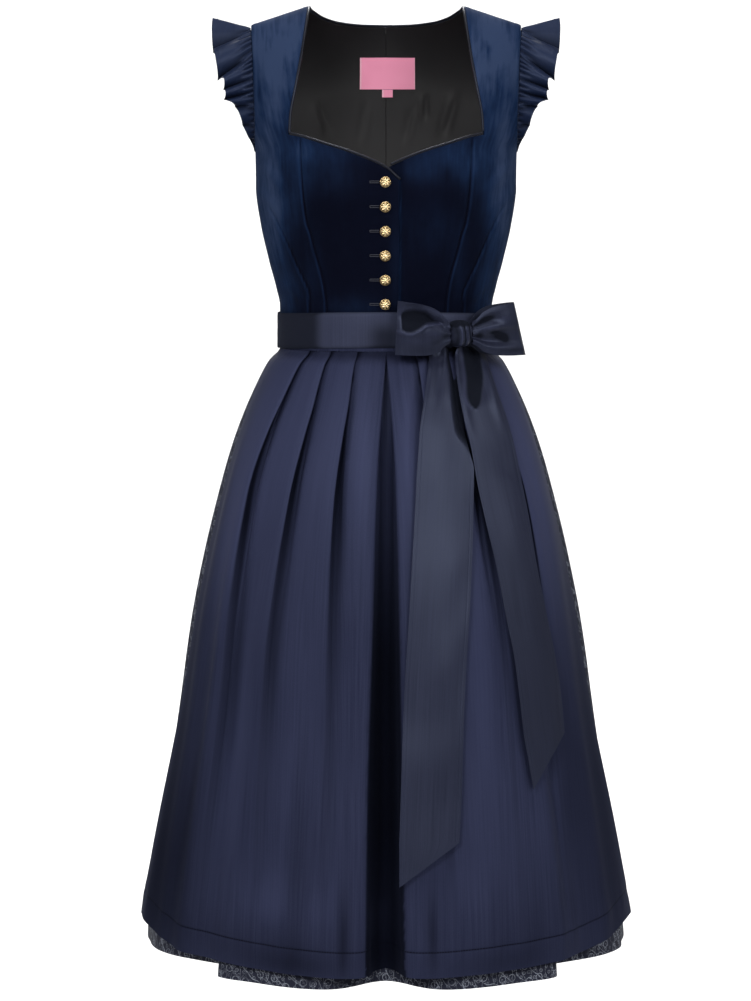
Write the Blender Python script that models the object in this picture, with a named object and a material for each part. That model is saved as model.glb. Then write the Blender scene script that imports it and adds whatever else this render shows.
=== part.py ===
"""A dirndl with a velvet bodice, ruffled cap sleeves, a pleated skirt and a satin apron.

The garment is filled out as if worn, and hollow. Metres, +Z up, its front faces -Y and the
wearer's right side is at -X. The origin lies midway between the tops of the two shoulders.
"""

import math

import bmesh
import bpy
import numpy as np

# Driving dimensions
SEAM_GAP = 0.0003
BODICE_WALL = 0.0020
LINING_WALL = 0.0010
SKIRT_WALL = 0.0010
APRON_WALL = 0.0010
RIBBON_WALL = 0.0012
BAND_WALL = 0.0015
RUFFLE_WALL = 0.0010

NECK_POINT_X = 0.0814
NECK_POINT_Z = -0.0020
SHOULDER_TIP_X = 0.1460
SHOULDER_FALL = 0.331
SHOULDER_DROP = 0.100
SHOULDER_POWER = 2.2
ARMPIT_Z = -0.1590
WAIST_SEAM_Z = -0.3455

PIPING_RADIUS = 0.0013
NECK_ALLOWANCE = 2 * PIPING_RADIUS + SEAM_GAP
MITRE_LIMIT = 1.5
NECK_POINT_BLEND = 0.012
NECK_CORNER_X = 0.1016
NECK_CORNER_Z = -0.1386
NECK_SEAM_X = 0.0917
NECK_SEAM_Z = -0.1408
NECK_SEAM_CUT_Z = NECK_SEAM_Z - 1.03 * NECK_ALLOWANCE
NECK_CORNER_CUT_Z = NECK_CORNER_Z - NECK_ALLOWANCE
BACK_NECK_Z = -0.0194
LAP_X = 0.0137
UNDERLAP_X = 0.0180
UNDERLAP_COLUMNS = 3
FRONT_COLUMNS = 5
LAP_BLEND = 0.0060
LAP_GAP = 0.0012

CUP_X = 0.070
CUP_Z = -0.200
CUP_WIDTH = 0.045
CUP_HEIGHT = 0.052
CUP_RISE = 0.008

TIE_TOP_Z = -0.3290
TIE_BOTTOM_Z = -0.3670
TIE_SIDE_DROP = 0.0039
WAISTBAND_TOP_Z = -0.3340
WAISTBAND_BOTTOM_Z = -0.3710
WAISTBAND_REACH = 80.0

APRON_TOP_Z = WAISTBAND_BOTTOM_Z - SEAM_GAP
APRON_REACH_WAIST = 79.0
APRON_REACH_HEM = 85.0
APRON_HEM_FRONT_Z = -1.0213
APRON_HEM_SIDE_Z = -1.0020
APRON_HEM_LIFT = 0.0040
APRON_CORNER_START = 50.0
APRON_CORNER_LIFT = 0.0130
HEM_MIDDLE_WIDTH = 7.0
SKIRT_TOP_Z = WAIST_SEAM_Z - SEAM_GAP
SKIRT_HEM_FRONT_Z = -1.0360
SKIRT_HEM_SIDE_Z = -1.0260
SKIRT_HEM_LIFT = 0.0050
SKIRT_STACK = -0.0014
SKIRT_HELD_SHARE = 0.038

BUTTON_RADIUS = 0.0060
BUTTON_RISE = 0.0032
BUTTON_X = -0.0010
BUTTON_TOP_Z = -0.1914
BUTTON_PITCH = 0.02588
BUTTON_COUNT = 6
BUTTON_CLEARANCE = 0.0006

LABEL_WIDTH = 0.062
LABEL_HEIGHT = 0.0355
LABEL_TOP_Z = -0.0548
LABEL_X = 0.0018
LABEL_WALL = 0.0008
LABEL_CLEARANCE = 0.0009
TAB_WIDTH = 0.0120
TAB_HEIGHT = 0.0085

RUFFLE_WIDTH = 0.042
RUFFLE_RISE = 0.10
RUFFLE_SPREAD = 0.55
RUFFLE_WAVES = 12.5
RUFFLE_DEPTH = 0.0095
RUFFLE_START = 0.0014
RUFFLE_COLUMNS = 64

KNOT_CENTRE = (0.0775, -0.0935, -0.3520)
KNOT_SIZE = (0.0235, 0.0262, 0.0290)
LOOPS_FORWARD = 0.0040


def table(names, *rows):
    """A table of sizes: one row for each section or fold, one named column for each size."""
    values = np.array(rows, dtype=float)
    return {name: values[:, i] for i, name in enumerate(names.split())}


# Rings of the bodice's outer face, level by level
TORSO = table(
    "z half_width front_depth back_depth",
    (-0.3460, 0.1150, 0.0990, 0.0890),
    (-0.3285, 0.1150, 0.0990, 0.0890),
    (-0.3050, 0.1192, 0.1015, 0.0903),
    (-0.2780, 0.1265, 0.1055, 0.0920),
    (-0.2400, 0.1350, 0.1120, 0.0940),
    (-0.2000, 0.1405, 0.1180, 0.0960),
    (-0.1590, 0.1414, 0.1175, 0.0970),
    (-0.1400, 0.1490, 0.1130, 0.0970),
    (-0.1000, 0.1590, 0.1010, 0.0960),
    (-0.0500, 0.1630, 0.0880, 0.0930),
    (0.0300, 0.1650, 0.0780, 0.0880),
)

# Rings of the skirt's mean face, level by level
SKIRT = table(
    "z half_width front_depth back_depth",
    (-1.0400, 0.2620, 0.2195, 0.2250),
    (-1.0019, 0.2600, 0.2170, 0.2230),
    (-0.9239, 0.2480, 0.2080, 0.2150),
    (-0.7576, 0.2180, 0.1850, 0.1930),
    (-0.6617, 0.2040, 0.1720, 0.1800),
    (-0.5969, 0.1920, 0.1600, 0.1690),
    (-0.5508, 0.1820, 0.1500, 0.1600),
    (-0.4808, 0.1645, 0.1340, 0.1440),
    (-0.4372, 0.1505, 0.1220, 0.1310),
    (-0.4012, 0.1355, 0.1110, 0.1160),
    (-0.3850, 0.1265, 0.1050, 0.1020),
    (-0.3715, 0.1150, 0.0990, 0.0890),
    (-0.3290, 0.1150, 0.0990, 0.0890),
)

# Distance of the princess seam from the centre line
PRINCESS = table(
    "z x",
    (-0.3460, 0.0625),
    (-0.3213, 0.0636),
    (-0.3035, 0.0656),
    (-0.2845, 0.0699),
    (-0.2655, 0.0755),
    (-0.2475, 0.0798),
    (-0.2340, 0.0842),
    (-0.2005, 0.0887),
    (-0.1745, 0.0905),
    (NECK_SEAM_CUT_Z, NECK_SEAM_X),
)

# The finished sweetheart neckline, from the far side of the lap outwards
SWEETHEART = table(
    "x z",
    (-0.0200, -0.1915),
    (-0.0106, -0.1831),
    (0.0000, -0.1740),
    (0.0200, -0.1645),
    (0.0450, -0.1552),
    (0.0604, -0.1505),
    (NECK_SEAM_X, NECK_SEAM_Z),
    (0.1000, -0.1388),
)

# The finished back neckline, from the centre back outwards
BACK_NECK = table(
    "x z",
    (0.0000, BACK_NECK_Z),
    (0.0240, -0.0190),
    (0.0510, -0.0161),
    (0.0670, -0.0112),
    (NECK_POINT_X, NECK_POINT_Z),
)

# The side of the front neckline, from its corner up to the neck point
NECK_SIDE = table(
    "z x",
    (NECK_CORNER_Z, NECK_CORNER_X),
    (-0.1250, 0.1010),
    (-0.0907, 0.0951),
    (-0.0509, 0.0882),
    (NECK_POINT_Z, NECK_POINT_X),
)

# The armhole seam, from the armpit up to the shoulder tip
ARMHOLE = table(
    "z x",
    (ARMPIT_Z, 0.1414),
    (-0.1100, 0.1422),
    (-0.0600, 0.1436),
    (-0.0234, SHOULDER_TIP_X),
)

# Rows of the bodice, as shares of the way from the waist to the top; the armpit is at CORNER_SHARE
CORNER_SHARE = 0.585
BACK_NECK_COLUMNS = 5
BACK_STRAP_COLUMNS = 4
NECK_MIDDLE = (0.0, 0.0, -0.060)
LOWER_SHARES = (0.0, 0.049, 0.10, 0.19, 0.29, 0.39, 0.48, 0.54)
STRAP_LENGTH = 0.1370
STRAP_DEPTHS = (0.1320, 0.1200, 0.1000, 0.0730, 0.0480, 0.0280, 0.0125, 0.0035, 0.0)

# Apron pleats on each side, from the middle outwards
APRON_PLEATS = table(
    "angle_waist angle_hem strength",
    (15.2, 17.5, 1.00),
    (30.0, 36.0, 1.05),
    (46.0, 53.0, 1.20),
)

# Skirt pleats on each side of the back
BACK_PLEATS = table(
    "angle_waist angle_hem strength",
    (102.0, 103.0, 1.00),
    (118.0, 119.0, 0.90),
    (134.0, 134.5, 1.10),
    (150.0, 150.0, 0.95),
    (166.0, 165.0, 1.05),
)

# Levels, as shares of the drop, at which the folds' forms are given
FOLD_LEVELS = np.array([0.0, 0.2, 0.5, 1.0])

# A fold's form: place along the cloth's ring and height off it, in millimetres, at each level
FOLD_COLUMNS = "along_0 off_0 along_1 off_1 along_2 off_2 along_3 off_3"

APRON_FOLD = table(
    FOLD_COLUMNS,
    (-7.0, 2.4, -16.0, 3.2, -20.0, 3.0, -24.0, 2.0),
    (0.0, 2.4, -2.0, 5.4, -8.0, 4.6, -12.0, 2.2),
    (1.2, 1.2, 0.3, 4.8, -1.5, 4.0, -3.0, 1.8),
    (0.0, 0.0, 0.2, 2.4, 2.0, 1.0, 5.0, 0.8),
    (-9.0, 0.0, -0.6, -3.0, 4.5, -3.0, 11.0, 0.2),
    (-10.2, -1.2, 0.6, -8.0, 8.0, -4.5, 18.0, 0.0),
    (-9.0, -2.4, 4.0, -9.5, 12.5, -3.8, 25.0, 0.5),
    (3.0, -2.4, 9.0, -5.5, 20.0, -0.5, 34.0, 1.0),
)

APRON_MIDDLE = table(
    FOLD_COLUMNS,
    (9.0, -2.4, 4.5, -20.0, 5.0, -31.0, 7.0, -37.0),
    (10.2, -1.2, 7.0, -14.0, 8.5, -24.0, 12.0, -29.0),
    (9.0, 0.0, 8.2, -7.0, 11.5, -14.0, 16.0, -17.0),
    (1.4, 0.0, 8.8, -1.0, 13.5, -4.0, 18.5, -6.0),
    (0.2, 1.2, 9.8, 3.6, 16.0, 2.0, 22.0, 0.5),
    (1.4, 2.4, 13.5, 5.0, 22.0, 4.0, 29.0, 2.5),
)
APRON_MIDDLE_DEPTHS = (-2.4, -22.0, -33.0, -40.0)

BACK_FOLD = table(
    FOLD_COLUMNS,
    (-7.0, 2.4, -13.0, 6.0, -16.0, 10.0, -18.0, 13.0),
    (0.0, 2.4, -4.0, 9.0, -8.0, 14.0, -10.0, 17.0),
    (1.2, 1.2, 0.0, 7.5, -1.0, 12.0, -1.0, 14.0),
    (0.0, 0.0, 1.5, 2.0, 3.0, 3.0, 4.0, 4.0),
    (-9.0, 0.0, 1.0, -4.0, 5.0, -6.0, 8.0, -6.0),
    (-10.2, -1.2, 2.0, -9.0, 8.0, -13.0, 13.0, -14.0),
    (-9.0, -2.4, 6.0, -12.0, 14.0, -16.0, 21.0, -18.0),
    (3.0, -2.4, 14.0, -9.0, 24.0, -12.0, 32.0, -12.0),
)

# The skirt's deep side fold in front, which shows at the hem, about its own angle
SIDE_FOLD_ANGLE = 44.0
SIDE_FOLD = table(
    FOLD_COLUMNS,
    (-6.0, -1.5, -8.0, -9.0, -10.0, -2.0, -12.0, 3.0),
    (-2.0, -1.5, -3.0, -9.5, -1.0, -4.0, -1.0, 0.0),
    (2.0, -1.5, 2.0, -10.0, 1.0, -10.0, -2.5, -12.0),
    (6.0, -1.5, 6.0, -10.5, 3.0, -18.0, -6.0, -30.0),
    (10.0, -1.5, 10.0, -11.0, 8.0, -23.0, -4.0, -40.0),
    (14.0, -1.5, 16.0, -11.0, 18.0, -24.0, 8.0, -46.0),
    (20.0, -1.5, 26.0, -10.0, 34.0, -20.0, 30.0, -43.0),
)

# The rest of the skirt's front: angle, and height off the ring in millimetres at each level
FRONT_WAVES = table(
    "angle off_0 off_1 off_2 off_3",
    (0.0, -1.5, -20.0, -30.0, -36.0),
    (4.0, -1.5, -19.5, -28.0, -33.0),
    (8.0, -1.5, -17.0, -21.0, -22.0),
    (12.0, -1.5, -14.0, -12.0, -9.0),
    (17.0, -1.5, -12.0, -6.0, -2.0),
    (24.0, -1.5, -10.0, -4.0, 0.0),
    (33.0, -1.5, -9.0, -4.0, -1.0),
    (61.0, -1.5, -8.0, -12.0, -30.0),
    (70.0, -1.5, -5.0, -5.0, -15.0),
    (78.0, -1.5, -2.5, -2.0, -6.0),
    (84.0, -0.8, -1.0, -0.5, -1.0),
)

# How far the apron's mean face stands off the skirt's ring, in millimetres, at each level
APRON_LIFTS = (1.05, 6.0, 7.5, 7.0)

APRON_ROWS = (0.0, 0.02, 0.06, 0.12, 0.2, 0.32, 0.46, 0.62, 0.8, 1.0)
SKIRT_ROWS = (0.0, 0.038, 0.065, 0.11, 0.2, 0.35, 0.55, 0.78, 1.0)

# Ruffle width along the armhole, as shares of its greatest, by share of the seam's length
RUFFLE_SHAPE = table(
    "share width",
    (0.00, 0.02),
    (0.06, 0.10),
    (0.14, 0.38),
    (0.22, 0.68),
    (0.30, 0.89),
    (0.38, 0.98),
    (0.50, 1.00),
    (0.62, 0.98),
    (0.70, 0.89),
    (0.78, 0.68),
    (0.86, 0.38),
    (0.94, 0.10),
    (1.00, 0.02),
)

# The apron ties' loose ends: left and right edges, and height off the skirt's ring
TAIL_RIGHT = table(
    "z left right off_left off_right",
    (-0.3668, 0.0500, 0.0750, 0.0080, 0.0130),
    (-0.3725, 0.0464, 0.0720, 0.0080, 0.0125),
    (-0.3952, 0.0442, 0.0705, 0.0125, 0.0145),
    (-0.4212, 0.0404, 0.0720, 0.0175, 0.0175),
    (-0.4520, 0.0360, 0.0735, 0.0195, 0.0195),
    (-0.4732, 0.0344, 0.0885, 0.0195, 0.0195),
    (-0.4940, 0.0328, 0.0938, 0.0195, 0.0195),
    (-0.5350, 0.0306, 0.0930, 0.0190, 0.0190),
    (-0.5870, 0.0274, 0.0912, 0.0185, 0.0185),
    (-0.6490, 0.0237, 0.0879, 0.0185, 0.0185),
    (-0.7170, 0.0194, 0.0835, 0.0185, 0.0185),
    (-0.7730, 0.0171, 0.0813, 0.0185, 0.0185),
    (-0.8260, 0.0152, 0.0797, 0.0180, 0.0180),
    (-0.8770, 0.0136, 0.0770, 0.0180, 0.0180),
)
TAIL_RIGHT_TIP_DROP = 0.0440
TAIL_RIGHT_TIP_SHIFT = 0.0

TAIL_LEFT = table(
    "z left right off_left off_right",
    (-0.3668, 0.0765, 0.0950, 0.0130, 0.0085),
    (-0.3734, 0.0740, 0.1047, 0.0125, 0.0090),
    (-0.3912, 0.0751, 0.1121, 0.0145, 0.0140),
    (-0.4133, 0.0782, 0.1195, 0.0170, 0.0170),
    (-0.4438, 0.0844, 0.1301, 0.0185, 0.0185),
    (-0.4658, 0.0900, 0.1364, 0.0195, 0.0195),
    (-0.5089, 0.0975, 0.1454, 0.0195, 0.0195),
    (-0.5488, 0.1064, 0.1532, 0.0195, 0.0195),
    (-0.5908, 0.1164, 0.1600, 0.0195, 0.0195),
    (-0.6530, 0.1284, 0.1722, 0.0195, 0.0195),
    (-0.6892, 0.1359, 0.1798, 0.0195, 0.0195),
    (-0.7284, 0.1411, 0.1862, 0.0195, 0.0195),
    (-0.7736, 0.1464, 0.1904, 0.0195, 0.0195),
)
TAIL_LEFT_TIP_DROP = 0.0540
TAIL_LEFT_TIP_SHIFT = 0.0100
TAIL_COLUMNS = 5
TAIL_END_STEPS = (0.35, 1.0)
TAIL_END_MARGIN = 0.0020

# Bow loops: direction away from the knot, length, and the half-height along them
LOOP_RIGHT = {"direction": (-0.95, -0.31), "length": 0.0700, "rise": 0.007, "start": 0.164, "slant": 0.0015}
LOOP_LEFT = {"direction": (0.86, 0.51), "length": 0.0760, "rise": 0.004, "start": 0.185, "slant": 0.0075}
LOOP_SHAPE = table(
    "share half_height thickness",
    (0.16, 0.0105, 0.0040),
    (0.25, 0.0145, 0.0065),
    (0.36, 0.0215, 0.0095),
    (0.55, 0.0260, 0.0130),
    (0.75, 0.0275, 0.0145),
    (0.90, 0.0280, 0.0120),
    (1.00, 0.0285, 0.0000),
)

# Materials: colour in linear light, roughness, metallic
FINISHES = {
    "velvet": ((0.0045, 0.0115, 0.0420), 0.85, 0.0),
    "lining": ((0.0160, 0.0140, 0.0180), 0.60, 0.0),
    "piping": ((0.0300, 0.0280, 0.0330), 0.45, 0.0),
    "ruffle_satin": ((0.0130, 0.0230, 0.0600), 0.45, 0.0),
    "print_cotton": ((0.0190, 0.0210, 0.0400), 0.80, 0.0),
    "apron_satin": ((0.0220, 0.0260, 0.0560), 0.40, 0.0),
    "ribbon_satin": ((0.0180, 0.0200, 0.0330), 0.38, 0.0),
    "gold": ((0.7000, 0.4600, 0.1500), 0.25, 1.0),
    "label_weave": ((0.7400, 0.2500, 0.3700), 0.70, 0.0),
}


def clear_scene():
    for thing in list(bpy.data.objects):
        bpy.data.objects.remove(thing, do_unlink=True)


def finish(name):
    """The named material, made once."""
    material = bpy.data.materials.get(name)
    if material is None:
        colour, roughness, metallic = FINISHES[name]
        material = bpy.data.materials.new(name)
        material.use_nodes = True
        shader = material.node_tree.nodes["Principled BSDF"]
        shader.inputs["Base Color"].default_value = (*colour, 1.0)
        shader.inputs["Roughness"].default_value = roughness
        shader.inputs["Metallic"].default_value = metallic
        material.diffuse_color = (*colour, 1.0)
    return material


def smooth(places, values, at):
    """Cubic through a table's column without overshoot; places rise or fall steadily."""
    if places[0] > places[-1]:
        places = places[::-1]
        values = values[::-1]
    at = np.clip(np.asarray(at, dtype=float), places[0], places[-1])
    steps = np.diff(places)
    slopes = np.diff(values) / steps
    tangents = np.zeros(len(values))
    tangents[0] = slopes[0]
    tangents[-1] = slopes[-1]
    same_way = slopes[:-1] * slopes[1:] > 0
    sums = slopes[:-1] + slopes[1:]
    inner = np.where(same_way, 2 * slopes[:-1] * slopes[1:] / np.where(sums == 0, 1, sums), 0.0)
    tangents[1:-1] = inner
    place = np.clip(np.searchsorted(places, at, side="right") - 1, 0, len(steps) - 1)
    width = steps[place]
    share = (at - places[place]) / width
    rest = 1 - share
    return (
        values[place] * (1 + 2 * share) * rest**2
        + values[place + 1] * share**2 * (3 - 2 * share)
        + tangents[place] * width * share * rest**2
        - tangents[place + 1] * width * share**2 * rest
    )


def column(source, name, at):
    return smooth(source["z"], source[name], at)


def unit(vectors):
    length = np.linalg.norm(vectors, axis=-1, keepdims=True)
    return vectors / np.where(length == 0, 1, length)


def mesh_object(name, points, faces, material):
    """A named object from points and faces, its faces turned outwards."""
    mesh = bpy.data.meshes.new(name)
    mesh.from_pydata([tuple(p) for p in points], [], faces)
    work = bmesh.new()
    work.from_mesh(mesh)
    bmesh.ops.recalc_face_normals(work, faces=work.faces)
    work.to_mesh(mesh)
    work.free()
    mesh.materials.append(finish(material))
    mesh.shade_smooth()
    mesh.set_sharp_from_angle(angle=math.radians(40))
    thing = bpy.data.objects.new(name, mesh)
    bpy.context.scene.collection.objects.link(thing)
    return thing


def shell(name, outer, inner, material, ring=False):
    """A closed wall between two grids of points; a ring joins its last column to its first."""
    rows, columns = outer.shape[:2]
    points = np.concatenate([outer.reshape(-1, 3), inner.reshape(-1, 3)])
    inside = rows * columns
    faces = []

    def at(row, col, side=0):
        return side * inside + row * columns + col % columns

    last = columns if ring else columns - 1
    for row in range(rows - 1):
        for col in range(last):
            faces.append((at(row, col), at(row, col + 1), at(row + 1, col + 1), at(row + 1, col)))
            faces.append(
                (at(row, col, 1), at(row + 1, col, 1), at(row + 1, col + 1, 1), at(row, col + 1, 1))
            )
    for col in range(last):
        faces.append((at(0, col), at(0, col, 1), at(0, col + 1, 1), at(0, col + 1)))
        top = rows - 1
        faces.append((at(top, col), at(top, col + 1), at(top, col + 1, 1), at(top, col, 1)))
    if not ring:
        for row in range(rows - 1):
            faces.append((at(row, 0), at(row + 1, 0), at(row + 1, 0, 1), at(row, 0, 1)))
            end = columns - 1
            faces.append((at(row, end), at(row, end, 1), at(row + 1, end, 1), at(row + 1, end)))
    return mesh_object(name, points, faces, material)


def grid_normals(grid, outward):
    """Unit normals of a grid of points, turned to the side that outward(points) gives."""
    across = np.gradient(grid, axis=1)
    down = np.gradient(grid, axis=0)
    normals = unit(np.cross(across, down))
    facing = np.sum(normals * outward(grid), axis=-1)
    if np.sum(facing) < 0:
        normals = -normals
    return normals


def from_axis(grid):
    """Directions straight out from the garment's upright axis."""
    away = grid.copy()
    away[..., 2] = 0
    return unit(away)


# The bodice
def shoulder_height(x):
    return NECK_POINT_Z - SHOULDER_FALL * (np.abs(x) - NECK_POINT_X)


def shoulder_round(depth):
    """How far the bodice reaches forward or back at a depth below the shoulder line, 0 to 1."""
    share = np.clip(depth / SHOULDER_DROP, 0, 1)
    return (1 - (1 - share) ** SHOULDER_POWER) ** (1 / SHOULDER_POWER)


def cup(x, z):
    return CUP_RISE * np.exp(-(((np.abs(x) - CUP_X) / CUP_WIDTH) ** 2) - ((z - CUP_Z) / CUP_HEIGHT) ** 2)


def torso(turn, z, front):
    """Points of the bodice's outer face: turn in radians from the centre line, and height."""
    x = column(TORSO, "half_width", z) * np.sin(turn)
    depth = shoulder_height(x) - z
    reach = column(TORSO, "front_depth" if front else "back_depth", z)
    y = reach * np.cos(turn) * shoulder_round(depth)
    if front:
        y = -(y + cup(x, z) * np.cos(turn))
    return np.stack([x, y, z * np.ones_like(x)], axis=-1)


def torso_normals(turn, z, front):
    """Outward unit normals of the bodice; along the shoulder seam they have no forward part."""
    step_turn = 0.004
    step_z = 0.0004
    across = torso(turn + step_turn, z, front) - torso(turn - step_turn, z, front)
    up = torso(turn, z + step_z, front) - torso(turn, z - step_z, front)
    normals = unit(np.cross(across, up))
    here = torso(turn, z, front)
    sign = np.sum(normals * from_axis(here), axis=-1, keepdims=True)
    normals = np.where(sign < 0, -normals, normals)
    depth = shoulder_height(here[..., 0]) - z
    on_seam = depth < 1.5 * step_z
    tilt = math.atan(SHOULDER_FALL)
    ridge = np.stack(
        [np.sign(here[..., 0]) * math.sin(tilt), 0 * depth, math.cos(tilt) + 0 * depth], axis=-1
    )
    return np.where(on_seam[..., None], ridge, normals)


def turn_at(x, z):
    return np.arcsin(np.clip(x / column(TORSO, "half_width", z), -1, 1))


def bodice_rows():
    """Shares of the way up for the rows of a panel that reaches the shoulder."""
    upper = [1 - (1 - CORNER_SHARE) * depth / STRAP_LENGTH for depth in STRAP_DEPTHS]
    seam_rise = (NECK_SEAM_CUT_Z - WAIST_SEAM_Z) / (NECK_CORNER_CUT_Z - WAIST_SEAM_Z)
    return np.array([*LOWER_SHARES, CORNER_SHARE * seam_rise, CORNER_SHARE, *upper])


def climb(shares, corner_z, top_z):
    """Heights for row shares, with the corner's height at its own share."""
    return np.interp(shares, [0, CORNER_SHARE, 1], [WAIST_SEAM_Z, corner_z, top_z])


def outer_edge(shares):
    """Turn and height of the side seam and the armhole above it."""
    z = climb(shares, ARMPIT_Z, shoulder_height(SHOULDER_TIP_X))
    x = np.interp(z, ARMHOLE["z"], ARMHOLE["x"]) - SEAM_GAP / 2
    seam = math.pi / 2 - SEAM_GAP / (2 * 0.10)
    turn = np.where(shares <= CORNER_SHARE, seam, np.minimum(turn_at(x, z), seam))
    return turn, z


def patch(bottom, top, inner, outer, shares, columns):
    """Turns and heights of a panel from its four edges, each a pair of turn and height arrays."""
    v = np.asarray(shares)[:, None]
    u = np.asarray(columns)[None, :]
    grids = []
    for b, t, i, o in zip(bottom, top, inner, outer):
        blend = (1 - v) * b[None, :] + v * t[None, :] + (1 - u) * i[:, None] + u * o[:, None]
        corners = (1 - u) * (1 - v) * b[0] + u * (1 - v) * b[-1] + (1 - u) * v * t[0] + u * v * t[-1]
        grids.append(blend - corners)
    return grids


def bodice_wall(name, turns, heights, front, side, near, far, material):
    """A wall of the bodice between two depths under its outer face."""
    face = torso(turns, heights, front)
    normals = torso_normals(turns, heights, front)
    outer = face - near[..., None] * normals
    inner = face - far[..., None] * normals
    mirror = np.array([side, 1.0, 1.0])
    return shell(name, outer * mirror, inner * mirror, material)


def sweetheart_cut(x, distance):
    """Height of a line that lies a distance below the finished sweetheart neckline."""
    step = 0.001
    low = smooth(SWEETHEART["x"], SWEETHEART["z"], x - step)
    high = smooth(SWEETHEART["x"], SWEETHEART["z"], x + step)
    slope = (high - low) / (2 * step)
    return smooth(SWEETHEART["x"], SWEETHEART["z"], x) - distance * np.sqrt(1 + slope**2)


def front_columns(start_x, edge_x):
    """Places across a centre front: the closing strip's own, then even ones to the seam."""
    strip = [x for x in (start_x, 0.0, LAP_X + 0.0012, LAP_X + LAP_BLEND) if x >= start_x]
    return np.concatenate([strip, np.linspace(strip[-1], edge_x, FRONT_COLUMNS + 1)[1:]])


def front_panel(name, side, start_x):
    """The centre front between the closing edge and the princess seam."""
    rows = bodice_rows()
    heights_at_seam = climb(rows, NECK_CORNER_CUT_Z, 0.0)[: len(LOWER_SHARES) + 1]
    shares = (heights_at_seam - WAIST_SEAM_Z) / (heights_at_seam[-1] - WAIST_SEAM_Z)
    rows = len(shares)
    top_x = front_columns(start_x, NECK_SEAM_X - SEAM_GAP / 2)
    bottom_x = front_columns(start_x, PRINCESS["x"][0] - SEAM_GAP / 2)
    columns = len(top_x)
    u = (top_x - start_x) / (top_x[-1] - start_x)
    top_z = sweetheart_cut(top_x, NECK_ALLOWANCE)
    top_z[-1] = NECK_SEAM_CUT_Z
    bottom_z = np.full(columns, WAIST_SEAM_Z)
    inner_z = WAIST_SEAM_Z + (top_z[0] - WAIST_SEAM_Z) * shares
    outer_z = WAIST_SEAM_Z + (top_z[-1] - WAIST_SEAM_Z) * shares
    outer_x = column(PRINCESS, "x", outer_z) - SEAM_GAP / 2
    turns, heights = patch(
        (turn_at(bottom_x, bottom_z), bottom_z),
        (turn_at(top_x, top_z), top_z),
        (turn_at(np.full(rows, start_x), inner_z), inner_z),
        (turn_at(outer_x, outer_z), outer_z),
        shares,
        u,
    )
    near = np.zeros_like(turns)
    if side > 0:
        near[:, :UNDERLAP_COLUMNS] = BODICE_WALL + LAP_GAP
    return bodice_wall(name, turns, heights, True, side, near, near + BODICE_WALL, "velvet")


def side_front_grid(columns):
    """Turns and heights of the side front and its strap, from the princess seam to the armhole."""
    shares = bodice_rows()
    u = np.linspace(0, 1, columns)
    inner_z = climb(shares, NECK_CORNER_CUT_Z, shoulder_height(NECK_POINT_X + NECK_ALLOWANCE))
    below = inner_z < NECK_SEAM_CUT_Z + 1e-6
    seam_x = column(PRINCESS, "x", inner_z) + SEAM_GAP / 2
    neck_x = column(NECK_SIDE, "x", inner_z) + NECK_ALLOWANCE
    inner_x = np.where(below, seam_x, neck_x)
    top_x = np.linspace(inner_x[-1], SHOULDER_TIP_X - SEAM_GAP / 2, columns)
    top_z = shoulder_height(top_x)
    bottom_z = np.full(columns, WAIST_SEAM_Z)
    outer_turn, outer_z = outer_edge(shares)
    inner_turn = turn_at(inner_x, inner_z)
    top_turn = turn_at(top_x, top_z)
    bottom_turn = inner_turn[0] + (outer_turn[0] - inner_turn[0]) * u
    top_turn[-1] = outer_turn[-1]
    edges = ((bottom_turn, bottom_z), (top_turn, top_z), (inner_turn, inner_z), (outer_turn, outer_z))
    return patch(*edges, shares, u)


def back_grid(shares, columns_to_neck, columns_to_tip):
    """Turns and heights of a back half, from the centre back to the side seam and armhole."""
    neck_x = NECK_POINT_X + NECK_ALLOWANCE
    tip_turn = outer_edge(np.array([1.0]))[0][0]
    neck_turn = turn_at(neck_x, shoulder_height(neck_x))
    neck_share = float(neck_turn / tip_turn)
    u = np.concatenate(
        [np.linspace(0, neck_share, columns_to_neck), np.linspace(neck_share, 1, columns_to_tip)[1:]]
    )
    centre_turn = SEAM_GAP / (2 * TORSO["half_width"].max())
    top_x = TORSO["half_width"][-1] * np.sin(u * tip_turn)
    neck_z = smooth(BACK_NECK["x"] * neck_x / NECK_POINT_X, BACK_NECK["z"], top_x) - NECK_ALLOWANCE
    seam_z = shoulder_height(top_x)
    blend = np.clip((neck_x - top_x) / NECK_POINT_BLEND, 0, 1)
    neck_z = blend * neck_z + (1 - blend) * np.minimum(neck_z, seam_z)
    top_z = np.where(top_x < neck_x - 1e-6, neck_z, seam_z)
    top_turn = np.maximum(turn_at(top_x, top_z), centre_turn)
    outer_turn, outer_z = outer_edge(shares)
    top_turn[-1] = outer_turn[-1]
    top_z[-1] = outer_z[-1]
    inner_z = climb(shares, ARMPIT_Z, top_z[0])
    inner_turn = np.full(len(shares), centre_turn)
    bottom_turn = centre_turn + (outer_turn[0] - centre_turn) * u
    bottom_z = np.full(len(u), WAIST_SEAM_Z)
    edges = ((bottom_turn, bottom_z), (top_turn, top_z), (inner_turn, inner_z), (outer_turn, outer_z))
    return patch(*edges, shares, u)


def seam_trim(grid_name, face_y):
    """Keeps a wall half a seam gap away from the shoulder seam's plane."""
    thing = bpy.data.objects[grid_name]
    for vertex in thing.data.vertices:
        if face_y < 0:
            vertex.co.y = min(vertex.co.y, -SEAM_GAP / 2)
        else:
            vertex.co.y = max(vertex.co.y, SEAM_GAP / 2)


def side_name(side):
    return "left" if side > 0 else "right"


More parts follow.
